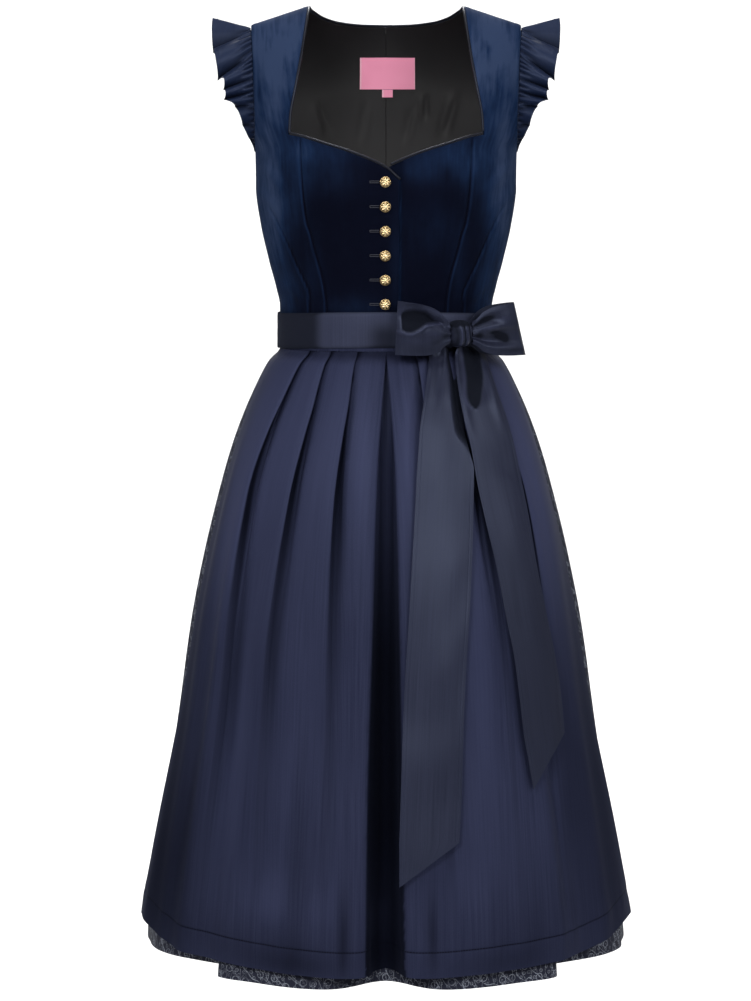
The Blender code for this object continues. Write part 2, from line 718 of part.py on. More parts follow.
def make_bodice():
    """Velvet panels and the lining of the back, on both sides."""
    front_panel("bodice_front_right", -1, -LAP_X)
    front_panel("bodice_front_left", 1, -UNDERLAP_X)
    turns, heights = side_front_grid(7)
    zero = np.zeros_like(turns)
    for side in (-1, 1):
        name = f"bodice_side_front_{side_name(side)}"
        bodice_wall(name, turns, heights, True, side, zero, zero + BODICE_WALL, "velvet")
        seam_trim(name, -1)
    turns, heights = back_grid(bodice_rows(), BACK_NECK_COLUMNS, BACK_STRAP_COLUMNS)
    zero = np.zeros_like(turns)
    lining_near = zero + BODICE_WALL + SEAM_GAP
    for side in (-1, 1):
        name = f"bodice_back_{side_name(side)}"
        bodice_wall(name, turns, heights, False, side, zero, zero + BODICE_WALL, "velvet")
        seam_trim(name, 1)
        name = f"back_lining_{side_name(side)}"
        bodice_wall(name, turns, heights, False, side, lining_near, lining_near + LINING_WALL, "lining")
        seam_trim(name, 1)


def piping_line(points, normals):
    """The piping's middle line beside a panel's cut edge, towards the neck's opening."""
    along = unit(np.gradient(points, axis=0))
    aside = unit(np.cross(normals, along))
    towards = np.array(NECK_MIDDLE) - points
    sign = np.where(np.sum(aside * towards, axis=-1, keepdims=True) < 0, -1.0, 1.0)
    legs = unit(np.diff(points, axis=0))
    mitre = np.ones((len(points), 1))
    mitre[1:-1] = 1 / np.sum(legs[1:] * along[1:-1], axis=-1, keepdims=True)
    reach = (PIPING_RADIUS + 1.5 * SEAM_GAP) * np.clip(mitre, 1.0, MITRE_LIMIT)
    return points + sign * aside * reach - BODICE_WALL / 2 * normals


def edge_line(turns, heights, front):
    return piping_line(torso(turns, heights, front), torso_normals(turns, heights, front))


def neck_edge(side):
    """The piping's middle line on one side's front, from the middle to the shoulder."""
    start_x = -LAP_X if side < 0 else LAP_X - 0.0085
    x = front_columns(start_x, NECK_SEAM_X)
    z = sweetheart_cut(x, NECK_ALLOWANCE)
    turns, heights = side_front_grid(3)
    first = len(LOWER_SHARES)
    turn = np.concatenate([turn_at(x, z)[:-1], turns[first:, 0]])
    height = np.concatenate([z[:-1], heights[first:, 0]])
    return edge_line(turn, height, True) * np.array([side, 1, 1])


def back_neck_edge():
    """The piping's middle line round one half of the back neck, from its middle to the shoulder."""
    turns, heights = back_grid(bodice_rows(), BACK_NECK_COLUMNS, BACK_STRAP_COLUMNS)
    turn = turns[-1, :BACK_NECK_COLUMNS].copy()
    height = heights[-1, :BACK_NECK_COLUMNS]
    turn[0] = 0.0
    return edge_line(turn, height, False)


def tube(name, points, radius, material, resolution=1):
    """A round cord along points, with closed ends."""
    curve = bpy.data.curves.new(name, "CURVE")
    curve.dimensions = "3D"
    curve.bevel_depth = radius
    curve.bevel_resolution = resolution
    curve.use_fill_caps = True
    spline = curve.splines.new("POLY")
    spline.points.add(len(points) - 1)
    for knot, place in zip(spline.points, points):
        knot.co = (*place, 1.0)
    curve.materials.append(finish(material))
    thing = bpy.data.objects.new(name, curve)
    bpy.context.scene.collection.objects.link(thing)
    return thing


def make_piping():
    """Satin piping all round the neckline."""
    right = neck_edge(-1)
    left = neck_edge(1)
    half = back_neck_edge()
    for line in (right, left, half):
        line[-1, 1] = 0.0
    mirror = np.array([-1, 1, 1])
    path = np.concatenate([right, half[::-1][1:] * mirror, half[1:-1], left[::-1]])
    tube("neckline_piping", path, PIPING_RADIUS, "piping")


# The sleeves
def armhole_line():
    """The armhole seam on the wearer's left: points, from the armpit in front over to the back."""
    shares = bodice_rows()
    turn, z = outer_edge(shares[shares >= CORNER_SHARE])
    front = torso(turn, z, True) - BODICE_WALL / 2 * torso_normals(turn, z, True)
    back = torso(turn, z, False) - BODICE_WALL / 2 * torso_normals(turn, z, False)
    front[-1, 1] = 0.0
    return np.concatenate([front, back[::-1][1:]])


def resample(points, count):
    """The line at even steps of its length."""
    steps = np.linalg.norm(np.diff(points, axis=0), axis=1)
    length = np.concatenate([[0], np.cumsum(steps)])
    places = np.linspace(0, length[-1], count)
    return np.stack([np.interp(places, length, points[:, i]) for i in range(3)], axis=-1)


def ruffle_grid(columns, widths):
    """A gathered strip along the armhole, waving more towards its loose edge."""
    base = resample(armhole_line(), columns)
    share = np.linspace(0, 1, columns)
    along = unit(np.gradient(base, axis=0))
    width = RUFFLE_WIDTH * smooth(RUFFLE_SHAPE["share"], RUFFLE_SHAPE["width"], share)
    rise = RUFFLE_RISE * np.sin(share * math.pi) ** 2
    away = np.stack([1.0 + 0 * share, -RUFFLE_SPREAD * np.cos(share * math.pi), rise], axis=-1)
    away = away - np.sum(away * along, axis=-1, keepdims=True) * along * 0.6
    away = unit(away)
    across = unit(np.cross(along, away))
    phase = 2 * math.pi * RUFFLE_WAVES * share
    wave = np.sin(phase)
    rows = []
    for part in widths:
        reach = RUFFLE_START + width * part * (1 + 0.07 * np.cos(phase + 0.6) * part)
        swing = RUFFLE_DEPTH * (width / RUFFLE_WIDTH) ** 0.7 * part**0.8 * wave
        rows.append(base + reach[:, None] * away + swing[:, None] * across)
    return np.array(rows)


def make_ruffles():
    grid = ruffle_grid(RUFFLE_COLUMNS, (0.0, 0.2, 0.55, 1.0))
    start = np.array([SHOULDER_TIP_X - 0.03, 0.0, -0.07])
    normals = grid_normals(grid, lambda g: unit(start - g))
    for side in (-1, 1):
        mirror = np.array([side, 1, 1])
        outer = (grid + RUFFLE_WALL / 2 * normals) * mirror
        inner = (grid - RUFFLE_WALL / 2 * normals) * mirror
        shell(f"sleeve_ruffle_{side_name(side)}", outer, inner, "ruffle_satin")


# Skirt, apron and waist
def ring_points(angles, heights, off):
    """Points on the skirt's ring: angle in degrees from the front, height, and distance off it."""
    turn = np.radians(angles)
    width = column(SKIRT, "half_width", heights)
    front = column(SKIRT, "front_depth", heights)
    back = column(SKIRT, "back_depth", heights)
    depth = np.where(np.cos(turn) >= 0, front, back)
    x = width * np.sin(turn)
    y = -depth * np.cos(turn)
    normal = unit(np.stack([np.sin(turn) / width, -np.cos(turn) / depth, 0 * turn], axis=-1))
    place = np.stack([x, y, heights + 0 * x], axis=-1)
    return place + off[..., None] * normal


def degrees_along(angle, height, distance):
    """The turn, in degrees, that a distance along the ring makes at an angle and height."""
    turn = np.radians(angle)
    width = column(SKIRT, "half_width", height)
    depth = column(SKIRT, "front_depth" if angle <= 90 else "back_depth", height)
    radius = np.hypot(width * np.cos(turn), depth * np.sin(turn))
    return np.degrees(distance / radius)


def at_level(values, share):
    """A fold's size at a share of the drop, eased between its given levels."""
    return float(smooth(FOLD_LEVELS, np.array(values, dtype=float), share))


def fold_points(form, angle, height, share, strength, lift):
    """Control points of one fold as pairs of angle and height off the ring."""
    points = []
    for i in range(len(form["along_0"])):
        along = at_level([form[f"along_{k}"][i] for k in range(4)], share)
        off = at_level([form[f"off_{k}"][i] for k in range(4)], share)
        grow = 1 + (strength - 1) * min(1.0, share / FOLD_LEVELS[1])
        shift = degrees_along(angle, height, along * 0.001)
        points.append((angle + shift, off * 0.001 * grow + lift))
    return points


def pleat_angle(pleats, i, share):
    return pleats["angle_waist"][i] + (pleats["angle_hem"][i] - pleats["angle_waist"][i]) * share


def apron_reach(share):
    return APRON_REACH_WAIST + (APRON_REACH_HEM - APRON_REACH_WAIST) * share


def apron_side(share, height):
    """Control points of the apron's section on one side, from the middle outwards."""
    lift = at_level(APRON_LIFTS, share) * 0.001
    middle = at_level(APRON_MIDDLE_DEPTHS, share) * 0.001 + lift
    points = [(0.0, middle)]
    points += fold_points(APRON_MIDDLE, 0.0, height, share, 1.0, lift)
    for i in range(len(APRON_PLEATS["strength"])):
        angle = pleat_angle(APRON_PLEATS, i, share)
        points += fold_points(APRON_FOLD, angle, height, share, APRON_PLEATS["strength"][i], lift)
    end = apron_reach(share)
    start_angle, start_off = points[-1]
    for part in (0.35, 0.7, 1.0):
        points.append((start_angle + (end - start_angle) * part, start_off + (lift - start_off) * part))
    return points


def below_band(share):
    """The share of the drop from where the skirt leaves the waist's bands."""
    return max(0.0, (share - SKIRT_HELD_SHARE) / (1 - SKIRT_HELD_SHARE))


def skirt_front_side(share, height):
    """Control points of the skirt's front on one side, from the middle to the side seam."""
    share = below_band(share)
    base = SKIRT_STACK
    waves = []
    for i, angle in enumerate(FRONT_WAVES["angle"]):
        off = at_level([FRONT_WAVES[f"off_{k}"][i] for k in range(4)], share)
        waves.append((angle, off * 0.001 + base))
    points = [wave for wave in waves if wave[0] < SIDE_FOLD_ANGLE]
    points += fold_points(SIDE_FOLD, SIDE_FOLD_ANGLE, height, share, 1.0, base)
    points += [wave for wave in waves if wave[0] > SIDE_FOLD_ANGLE]
    points.append((90.0 - degrees_along(90.0, height, SEAM_GAP / 2), base))
    return points


def skirt_back_side(share, height):
    """Control points of the skirt's back on one side, from the side seam to the centre back."""
    share = below_band(share)
    base = SKIRT_STACK
    points = [(90.0 + degrees_along(90.0, height, SEAM_GAP / 2), base)]
    for i in range(len(BACK_PLEATS["strength"])):
        angle = pleat_angle(BACK_PLEATS, i, share)
        points += fold_points(BACK_FOLD, angle, height, share, BACK_PLEATS["strength"][i], base)
    return points


def mirrored(points, centre):
    """Both sides' control points, from one side's; centre is the shared angle, if it has one."""
    other = [(2 * centre - angle, off) for angle, off in points]
    if abs(points[0][0] - centre) < 1e-6:
        return other[::-1] + points[1:]
    if abs(points[-1][0] - centre) < 1e-6:
        return points + other[::-1][1:]
    return points + other[::-1]


def section_grid(shares, section, top_z, hem_z):
    """Middle points of a folded cloth: rows down the drop, columns across its folds."""
    rows = []
    for share in shares:
        guess = top_z + (hem_z(np.array([0.0]))[0] - top_z) * share
        points = section(share, guess)
        angles = np.array([p[0] for p in points])
        off = np.array([p[1] for p in points])
        heights = top_z + (hem_z(angles) - top_z) * share
        rows.append(ring_points(angles, heights, off))
    return np.array(rows)


def apron_hem(angles):
    """Height of the apron's hem: higher at its corners and a little up in its middle fold."""
    side = np.sin(np.radians(np.minimum(np.abs(angles), 90))) ** 2
    middle = np.exp(-((angles / HEM_MIDDLE_WIDTH) ** 2))
    part = np.clip((np.abs(angles) - APRON_CORNER_START) / (APRON_REACH_HEM - APRON_CORNER_START), 0, 1)
    corner = APRON_CORNER_LIFT * part**2 * (3 - 2 * part)
    return APRON_HEM_FRONT_Z + (APRON_HEM_SIDE_Z - APRON_HEM_FRONT_Z) * side + APRON_HEM_LIFT * middle + corner


def skirt_hem(angles):
    side = np.sin(np.radians(angles)) ** 2
    middle = np.exp(-((angles / HEM_MIDDLE_WIDTH) ** 2))
    return SKIRT_HEM_FRONT_Z + (SKIRT_HEM_SIDE_Z - SKIRT_HEM_FRONT_Z) * side + SKIRT_HEM_LIFT * middle


def cloth(name, grid, wall, material):
    """A thin wall about a grid of points, its top edge cut level."""
    normals = grid_normals(grid, from_axis)
    normals[0, :, 2] = 0
    normals[0] = unit(normals[0])
    shell(name, grid + wall / 2 * normals, grid - wall / 2 * normals, material)


def make_skirt():
    front = section_grid(
        SKIRT_ROWS,
        lambda share, height: mirrored(skirt_front_side(share, height), 0.0),
        SKIRT_TOP_Z,
        skirt_hem,
    )
    cloth("skirt_front", front, SKIRT_WALL, "print_cotton")
    back = section_grid(
        SKIRT_ROWS,
        lambda share, height: mirrored(skirt_back_side(share, height), 180.0),
        SKIRT_TOP_Z,
        skirt_hem,
    )
    cloth("skirt_back", back, SKIRT_WALL, "print_cotton")


def make_apron():
    grid = section_grid(
        APRON_ROWS,
        lambda share, height: mirrored(apron_side(share, height), 0.0),
        APRON_TOP_Z,
        apron_hem,
    )
    cloth("apron", grid, APRON_WALL, "apron_satin")


def band_wall(name, angles, levels, side_drop, near, far, material, ring):
    """An upright band round the waist between two distances off the ring, lower at the sides."""
    drop = side_drop * np.sin(np.radians(angles)) ** 2
    grids = []
    for off in (far, near):
        rows = [ring_points(angles, z - drop, np.full(len(angles), off)) for z in levels]
        grids.append(np.array(rows))
    return shell(name, grids[0], grids[1], material, ring=ring)


def make_bands():
    """The apron's own waistband and the tie wound over it."""
    band_near = SEAM_GAP
    band_far = band_near + BAND_WALL
    angles = np.linspace(-WAISTBAND_REACH, WAISTBAND_REACH, 33)
    levels = (WAISTBAND_TOP_Z, WAISTBAND_BOTTOM_Z)
    band_wall("apron_waistband", angles, levels, 0.0, band_near, band_far, "apron_satin", False)
    tie_near = band_far + SEAM_GAP
    angles = np.linspace(-180, 180, 49)[:-1]
    levels = (TIE_TOP_Z, TIE_BOTTOM_Z)
    tie_far = tie_near + RIBBON_WALL
    band_wall("waist_tie", angles, levels, TIE_SIDE_DROP, tie_near, tie_far, "ribbon_satin", True)


# The bow
def tail_grid(edges, tip_drop, tip_shift):
    """A loose end of the tie: rows from its table, and an end that slants down to its left."""
    u = np.linspace(0, 1, TAIL_COLUMNS)
    x = edges["left"][:, None] * (1 - u) + edges["right"][:, None] * u
    off = edges["off_left"][:, None] * (1 - u) + edges["off_right"][:, None] * u
    rows = [tail_row(x[i], np.full(TAIL_COLUMNS, z), off[i]) for i, z in enumerate(edges["z"])]
    for part in TAIL_END_STEPS:
        height = edges["z"][-1] - (TAIL_END_MARGIN + tip_drop * (1 - u)) * part
        rows.append(tail_row(x[-1] + tip_shift * part * (1 - u), height, off[-1]))
    return np.array(rows)


def tail_row(x, z, off):
    """Points at given places across, lying their distances off the skirt's ring."""
    width = column(SKIRT, "half_width", z)
    angle = np.degrees(np.arcsin(np.clip(x / (width + off), -0.98, 0.98)))
    return ring_points(angle, z, off)


def make_tails():
    grid = tail_grid(TAIL_RIGHT, TAIL_RIGHT_TIP_DROP, TAIL_RIGHT_TIP_SHIFT)
    cloth("bow_tail_right", grid, RIBBON_WALL, "ribbon_satin")
    grid = tail_grid(TAIL_LEFT, TAIL_LEFT_TIP_DROP, TAIL_LEFT_TIP_SHIFT)
    cloth("bow_tail_left", grid, RIBBON_WALL, "ribbon_satin")


def loop_grid(loop, steps, rows):
    """A hollow bow loop: out along its front layer, round its end and back behind."""
    way = unit(np.array([*loop["direction"], 0.0]))
    behind = np.array([-way[1], way[0], 0.0])
    if behind[1] < 0:
        behind = -behind
    shares = np.linspace(loop["start"], 1.0, steps)
    ease = 1 - (1 - (shares - shares[0]) / (1 - shares[0])) ** 1.6
    shares = shares[0] + (1 - shares[0]) * ease
    half = smooth(LOOP_SHAPE["share"], LOOP_SHAPE["half_height"], shares)
    thick = smooth(LOOP_SHAPE["share"], LOOP_SHAPE["thickness"], shares) / 2 + 0.0014
    thick[-1] = 0.0
    up = np.linspace(1, -1, rows)
    columns = []
    for sign, order in ((-1, range(steps)), (1, range(steps - 2, -1, -1))):
        for i in order:
            centre = np.array(KNOT_CENTRE) + way * loop["length"] * shares[i]
            centre = centre + np.array([0, -LOOPS_FORWARD, loop["rise"] * shares[i]])
            slant = loop["slant"] * shares[i] ** 2
            face = centre + behind * sign * thick[i]
            columns.append([face + np.array([0, 0, half[i] * h]) - way * slant * h for h in up])
    return np.transpose(np.array(columns), (1, 0, 2)), way


def make_bow():
    for name, loop in (("bow_loop_right", LOOP_RIGHT), ("bow_loop_left", LOOP_LEFT)):
        grid, way = loop_grid(loop, 8, 4)
        centre = np.array(KNOT_CENTRE) + way * loop["length"] * 0.5
        across = np.gradient(grid, axis=1)
        down = np.gradient(grid, axis=0)
        normals = unit(np.cross(across, down))
        if np.sum(normals * (grid - centre)) < 0:
            normals = -normals
        shell(name, grid + RIBBON_WALL / 2 * normals, grid - RIBBON_WALL / 2 * normals, "ribbon_satin")
    make_knot()
    make_tails()


def make_knot():
    """The knot: a rounded block of wound ribbon with a waist and upright folds."""
    work = bmesh.new()
    bmesh.ops.create_uvsphere(work, u_segments=14, v_segments=8, radius=1.0)
    turn = math.atan2(KNOT_CENTRE[0], -KNOT_CENTRE[1])
    for vertex in work.verts:
        x, y, z = vertex.co
        square = [math.copysign(abs(v) ** 0.72, v) for v in (x, y, z)]
        pinch = 1 + 0.10 * abs(square[2])
        local_x = square[0] * KNOT_SIZE[0] / 2 * pinch
        local_y = square[1] * KNOT_SIZE[1] / 2
        vertex.co.x = KNOT_CENTRE[0] + local_x * math.cos(turn) - local_y * math.sin(turn)
        vertex.co.y = KNOT_CENTRE[1] + local_x * math.sin(turn) + local_y * math.cos(turn)
        vertex.co.z = KNOT_CENTRE[2] + square[2] * KNOT_SIZE[2] / 2
    mesh = bpy.data.meshes.new("bow_knot")
    work.to_mesh(mesh)
    work.free()
    mesh.materials.append(finish("ribbon_satin"))
    mesh.shade_smooth()
    thing = bpy.data.objects.new("bow_knot", mesh)
    bpy.context.scene.collection.objects.link(thing)


# Small pieces
def dome(name, centre, facing):
    """A domed button with its back on centre, looking along facing."""
    segments = 12
    profile = ((1.0, 0.0), (1.0, 0.25), (0.86, 0.62), (0.52, 0.92), (0.0, 1.0))
    side = unit(np.array([facing[1], -facing[0], 0.0]))
    up = np.cross(facing, side)
    points = [centre]
    faces = []
    for radius, rise in profile[:-1]:
        for k in range(segments):
            angle = 2 * math.pi * k / segments
            spoke = math.cos(angle) * side + math.sin(angle) * up
            points.append(centre + spoke * BUTTON_RADIUS * radius + facing * BUTTON_RISE * rise)
    points.append(centre + facing * BUTTON_RISE)
    rings = len(profile) - 1
    for k in range(segments):
        after = (k + 1) % segments
        faces.append((0, 1 + after, 1 + k))
        for ring in range(rings - 1):
            low = 1 + ring * segments
            high = low + segments
            faces.append((low + k, low + after, high + after, high + k))
        top = 1 + (rings - 1) * segments
        faces.append((top + k, top + after, len(points) - 1))
    return mesh_object(name, points, faces, "gold")


def make_buttons():
    for i in range(BUTTON_COUNT):
        z = np.array(BUTTON_TOP_Z - BUTTON_PITCH * i)
        turn = turn_at(BUTTON_X, z)
        facing = torso_normals(turn, z, True)
        centre = torso(turn, z, True) + facing * BUTTON_CLEARANCE
        dome(f"button_{i + 1}", centre, facing)


def label_piece(name, centre_x, top_z, width, height):
    """A flat woven piece lying on the back lining's inner face."""
    columns = 7
    rows = 3
    x = np.linspace(centre_x - width / 2, centre_x + width / 2, columns)[None, :]
    z = np.linspace(top_z, top_z - height, rows)[:, None]
    x = x + 0 * z
    z = z + 0 * x
    turns = turn_at(np.abs(x), z)
    face = torso(turns, z, False)
    normals = torso_normals(turns, z, False)
    sign = np.where(x < 0, -1.0, 1.0)
    face[..., 0] *= sign
    normals[..., 0] *= sign
    near = BODICE_WALL + LINING_WALL + SEAM_GAP + LABEL_CLEARANCE
    outer = face - near * normals
    inner = face - (near + LABEL_WALL) * normals
    shell(name, outer, inner, "label_weave")


def make_label():
    label_piece("label", LABEL_X, LABEL_TOP_Z, LABEL_WIDTH, LABEL_HEIGHT)
    tab_top = LABEL_TOP_Z - LABEL_HEIGHT - SEAM_GAP
    label_piece("label_tab", LABEL_X, tab_top, TAB_WIDTH, TAB_HEIGHT)


def main():
    clear_scene()
    make_bodice()
    make_piping()
    make_ruffles()
    make_skirt()
    make_apron()
    make_bands()
    make_bow()
    make_buttons()
    make_label()


main()
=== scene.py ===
"""Looks of a dirndl: velvet bodice, ruffled cap sleeves, printed skirt, satin apron and bow.

Lengths are in metres unless a table says millimetres. The wearer's right side is at -X and the
front faces -Y. Every cloth is a thin closed shell on the form of its solid.
"""

import math

import bpy
import numpy as np
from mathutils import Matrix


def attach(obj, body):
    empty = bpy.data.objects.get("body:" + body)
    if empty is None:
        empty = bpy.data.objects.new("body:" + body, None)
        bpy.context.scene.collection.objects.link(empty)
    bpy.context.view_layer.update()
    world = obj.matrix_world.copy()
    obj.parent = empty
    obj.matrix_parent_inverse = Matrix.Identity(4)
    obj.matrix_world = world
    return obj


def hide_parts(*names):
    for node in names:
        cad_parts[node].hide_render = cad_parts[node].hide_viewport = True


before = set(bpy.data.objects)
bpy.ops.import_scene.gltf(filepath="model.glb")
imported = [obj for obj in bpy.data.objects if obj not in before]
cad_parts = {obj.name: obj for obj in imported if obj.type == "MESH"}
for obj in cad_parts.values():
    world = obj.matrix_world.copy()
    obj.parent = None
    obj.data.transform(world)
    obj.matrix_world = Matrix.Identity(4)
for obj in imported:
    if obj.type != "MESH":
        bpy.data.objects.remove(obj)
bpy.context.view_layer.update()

# The least share of its flat size that a sheet's stated area may have
LEAST_AREA_SHARE = 0.301

# Walls of the cloths
VELVET_WALL = 0.0016
LINING_WALL = 0.0008
SATIN_WALL = 0.0006
COTTON_WALL = 0.0006
BAND_WALL = 0.0010

# Rows, columns and steps into which the pieces are divided, and the spacing across folds
FRONT_ROWS = 90
FRONT_COLUMNS = 64
PANEL_ROWS = (90, 80)
SIDE_FRONT_COLUMNS = 48
BACK_COLUMNS = (44, 26)
NECK_STEPS = 70
PIPING_STEPS = 420
ARMHOLE_STEPS = 60
RUFFLE_COLUMNS = 620
RUFFLE_ROWS = 34
SKIRT_FRONT_ROWS = 60
SKIRT_BACK_ROWS = 100
SKIRT_SPACING = 0.0045
APRON_ROWS = 130
APRON_SPACING = 0.0042
WAISTBAND_COLUMNS = 160
WAISTBAND_ROWS = 14
TIE_COLUMNS = 360
TIE_ROWS = 26
TAIL_ROWS = 150
TAIL_COLUMNS = 40
TAIL_END_ROWS = 14
LOOP_STEPS = 56
LOOP_ROWS = 44
KNOT_ROWS = 64
KNOT_COLUMNS = 120
BUTTON_RINGS = 22
BUTTON_SIDES = 72
BUTTONHOLE_STEPS = 44
LINING_SEAM_STEPS = 90

# The fewest and the most steps between two control points of a fold
FOLD_STEPS = (3, 9)
# The angle between two faces from which their edge shows sharp
SHARP_DEGREES = 50

# The bodice's driving sizes
SEAM_GAP = 0.0003
SEAM_SLIT = 0.00004
BODICE_WALL = 0.0020
NECK_POINT_X = 0.0814
NECK_POINT_Z = -0.0020
SHOULDER_TIP_X = 0.1460
SHOULDER_FALL = 0.331
SHOULDER_DROP = 0.100
SHOULDER_POWER = 2.2
ARMPIT_Z = -0.1590
WAIST_SEAM_Z = -0.3455
PIPING_RADIUS = 0.0013
NECK_ALLOWANCE = 2 * PIPING_RADIUS + SEAM_GAP
NECK_CORNER_X = 0.1016
NECK_CORNER_Z = -0.1386
NECK_SEAM_X = 0.0917
NECK_SEAM_Z = -0.1408
NECK_SEAM_CUT_Z = NECK_SEAM_Z - 1.03 * NECK_ALLOWANCE
NECK_CORNER_CUT_Z = NECK_CORNER_Z - NECK_ALLOWANCE
NECK_MIDDLE = (0.0, 0.0, -0.060)
NECK_POINT_BLEND = 0.012
NECK_STEP_BACK = 0.004
BACK_NECK_Z = -0.0194
LAP_X = 0.0137
LAP_GAP = 0.0012
LAP_BLEND = 0.0060
PIPING_UNDERLAP = 0.0085
UNDERLAP_X = 0.0180
CORNER_SHARE = 0.585
CUP_X = 0.070
CUP_Z = -0.200
CUP_WIDTH = 0.045
CUP_HEIGHT = 0.052
CUP_RISE = 0.008

# The waist, the skirt and the apron
TIE_TOP_Z = -0.3290
TIE_BOTTOM_Z = -0.3670
TIE_SIDE_DROP = 0.0039
TIE_MIDDLE = 0.0021 + 0.0006
WAISTBAND_TOP_Z = -0.3340
WAISTBAND_BOTTOM_Z = -0.3710
WAISTBAND_REACH = 80.0
WAISTBAND_MIDDLE = 0.0003 + 0.00075
APRON_TOP_Z = -0.3713
APRON_REACH_WAIST = 79.0
APRON_REACH_HEM = 85.0
APRON_HEM_FRONT_Z = -1.0213
APRON_HEM_SIDE_Z = -1.0020
APRON_HEM_LIFT = 0.0040
APRON_CORNER_START = 50.0
APRON_CORNER_LIFT = 0.0130
HEM_MIDDLE_WIDTH = 7.0
SKIRT_TOP_Z = -0.3458
SKIRT_HEM_FRONT_Z = -1.0360
SKIRT_HEM_SIDE_Z = -1.0260
SKIRT_HEM_LIFT = 0.0050
SKIRT_STACK = -0.0014
SKIRT_SIDE_LIFTS = (0.0, 6.0, 9.0, -1.0)
SKIRT_HELD_SHARE = 0.038
SIDE_SEAM_CALM = 0.030
APRON_HEM_DEPTH = 0.0270
SKIRT_HEM_DEPTH = 0.0220
FINE_HEM_SHARE = 0.055
FINE_HEM_ROWS = 18

# Buttons, label, ruffles and bow
BUTTON_RADIUS = 0.0060
BUTTON_RISE = 0.0032
BUTTON_X = -0.0010
BUTTON_TOP_Z = -0.1914
BUTTON_PITCH = 0.02588
BUTTON_COUNT = 6
BUTTON_CLEARANCE = 0.0006
BUTTONHOLE_X = -0.0125
BUTTONHOLE_LENGTH = 0.0095
BUTTONHOLE_WIDTH = 0.0019
THREAD_RADIUS = 0.00042
LINING_SEAM_RADIUS = 0.0005
THREAD_LIFT = 0.0004
LABEL_WIDTH = 0.062
LABEL_HEIGHT = 0.0355
LABEL_TOP_Z = -0.0548
LABEL_X = 0.0018
TAB_WIDTH = 0.0120
TAB_HEIGHT = 0.0085
TAB_CAUGHT = 0.0020
# How far the middle of the label lies under the bodice's outer face
LABEL_NEAR = BODICE_WALL + 0.0010 + 2 * SEAM_GAP + 0.0010
RUFFLE_WIDTH = 0.042
RUFFLE_SPREAD = 0.55
RUFFLE_GATHERS = 52.0
RUFFLE_DEPTH = 0.0100
RUFFLE_SCALLOP = 0.07
RUFFLE_START = 0.0010
# A place within the wearer's left armhole, to which the ruffle's inner face looks
RUFFLE_INSIDE = np.array([SHOULDER_TIP_X - 0.03, 0.0, -0.07])
KNOT_CENTRE = np.array([0.0775, -0.0935, -0.3520])
KNOT_SIZE = (0.0235, 0.0262, 0.0290)
LOOPS_FORWARD = 0.0040

# The camera: its place, tilt below level and lens, for a frame 36 mm high
CAMERA_PLACE = (-0.0114, -4.2, -0.173)
CAMERA_PITCH = 4.97
CAMERA_LENS = 139.0
FLOOR_Z = -1.42


def table(names, *rows):
    """A table of sizes: one row for each section or fold, one named column for each size."""
    values = np.array(rows, dtype=float)
    return {name: values[:, i] for i, name in enumerate(names.split())}


# Rings of the bodice's outer face, level by level
TORSO = table(
    "z half_width front_depth back_depth",
    (-0.3460, 0.1150, 0.0990, 0.0890),
    (-0.3285, 0.1150, 0.0990, 0.0890),
    (-0.3050, 0.1192, 0.1015, 0.0903),
    (-0.2780, 0.1265, 0.1055, 0.0920),
    (-0.2400, 0.1350, 0.1120, 0.0940),
    (-0.2000, 0.1405, 0.1180, 0.0960),
    (-0.1590, 0.1414, 0.1175, 0.0970),
    (-0.1400, 0.1490, 0.1130, 0.0970),
    (-0.1000, 0.1590, 0.1010, 0.0960),
    (-0.0500, 0.1630, 0.0880, 0.0930),
    (0.0300, 0.1650, 0.0780, 0.0880),
)

# Rings of the skirt's mean face, level by level
SKIRT = table(
    "z half_width front_depth back_depth",
    (-1.0400, 0.2620, 0.2195, 0.2250),
    (-1.0019, 0.2600, 0.2170, 0.2230),
    (-0.9239, 0.2480, 0.2080, 0.2150),
    (-0.7576, 0.2180, 0.1850, 0.1930),
    (-0.6617, 0.2040, 0.1720, 0.1800),
    (-0.5969, 0.1920, 0.1600, 0.1690),
    (-0.5508, 0.1820, 0.1500, 0.1600),
    (-0.4808, 0.1645, 0.1340, 0.1440),
    (-0.4372, 0.1505, 0.1220, 0.1310),
    (-0.4012, 0.1355, 0.1110, 0.1160),
    (-0.3850, 0.1265, 0.1050, 0.1020),
    (-0.3715, 0.1150, 0.0990, 0.0890),
    (-0.3290, 0.1150, 0.0990, 0.0890),
)

# Distance of the princess seam from the centre line
PRINCESS = table(
    "z x",
    (-0.3460, 0.0625),
    (-0.3213, 0.0636),
    (-0.3035, 0.0656),
    (-0.2845, 0.0699),
    (-0.2655, 0.0755),
    (-0.2475, 0.0798),
    (-0.2340, 0.0842),
    (-0.2005, 0.0887),
    (-0.1745, 0.0905),
    (NECK_SEAM_CUT_Z, NECK_SEAM_X),
)

# The bust dart, which shows as a second line further out
DART = table(
    "z x",
    (-0.3350, 0.0815),
    (-0.3100, 0.0822),
    (-0.2980, 0.0868),
    (-0.2810, 0.0950),
    (-0.2560, 0.1060),
    (-0.2250, 0.1215),
    (-0.2160, 0.1270),
)

# The finished sweetheart neckline, from the far side of the lap outwards
SWEETHEART = table(
    "x z",
    (-0.0200, -0.1915),
    (-0.0106, -0.1831),
    (0.0000, -0.1740),
    (0.0200, -0.1645),
    (0.0450, -0.1552),
    (0.0604, -0.1505),
    (NECK_SEAM_X, NECK_SEAM_Z),
    (0.1000, -0.1388),
)

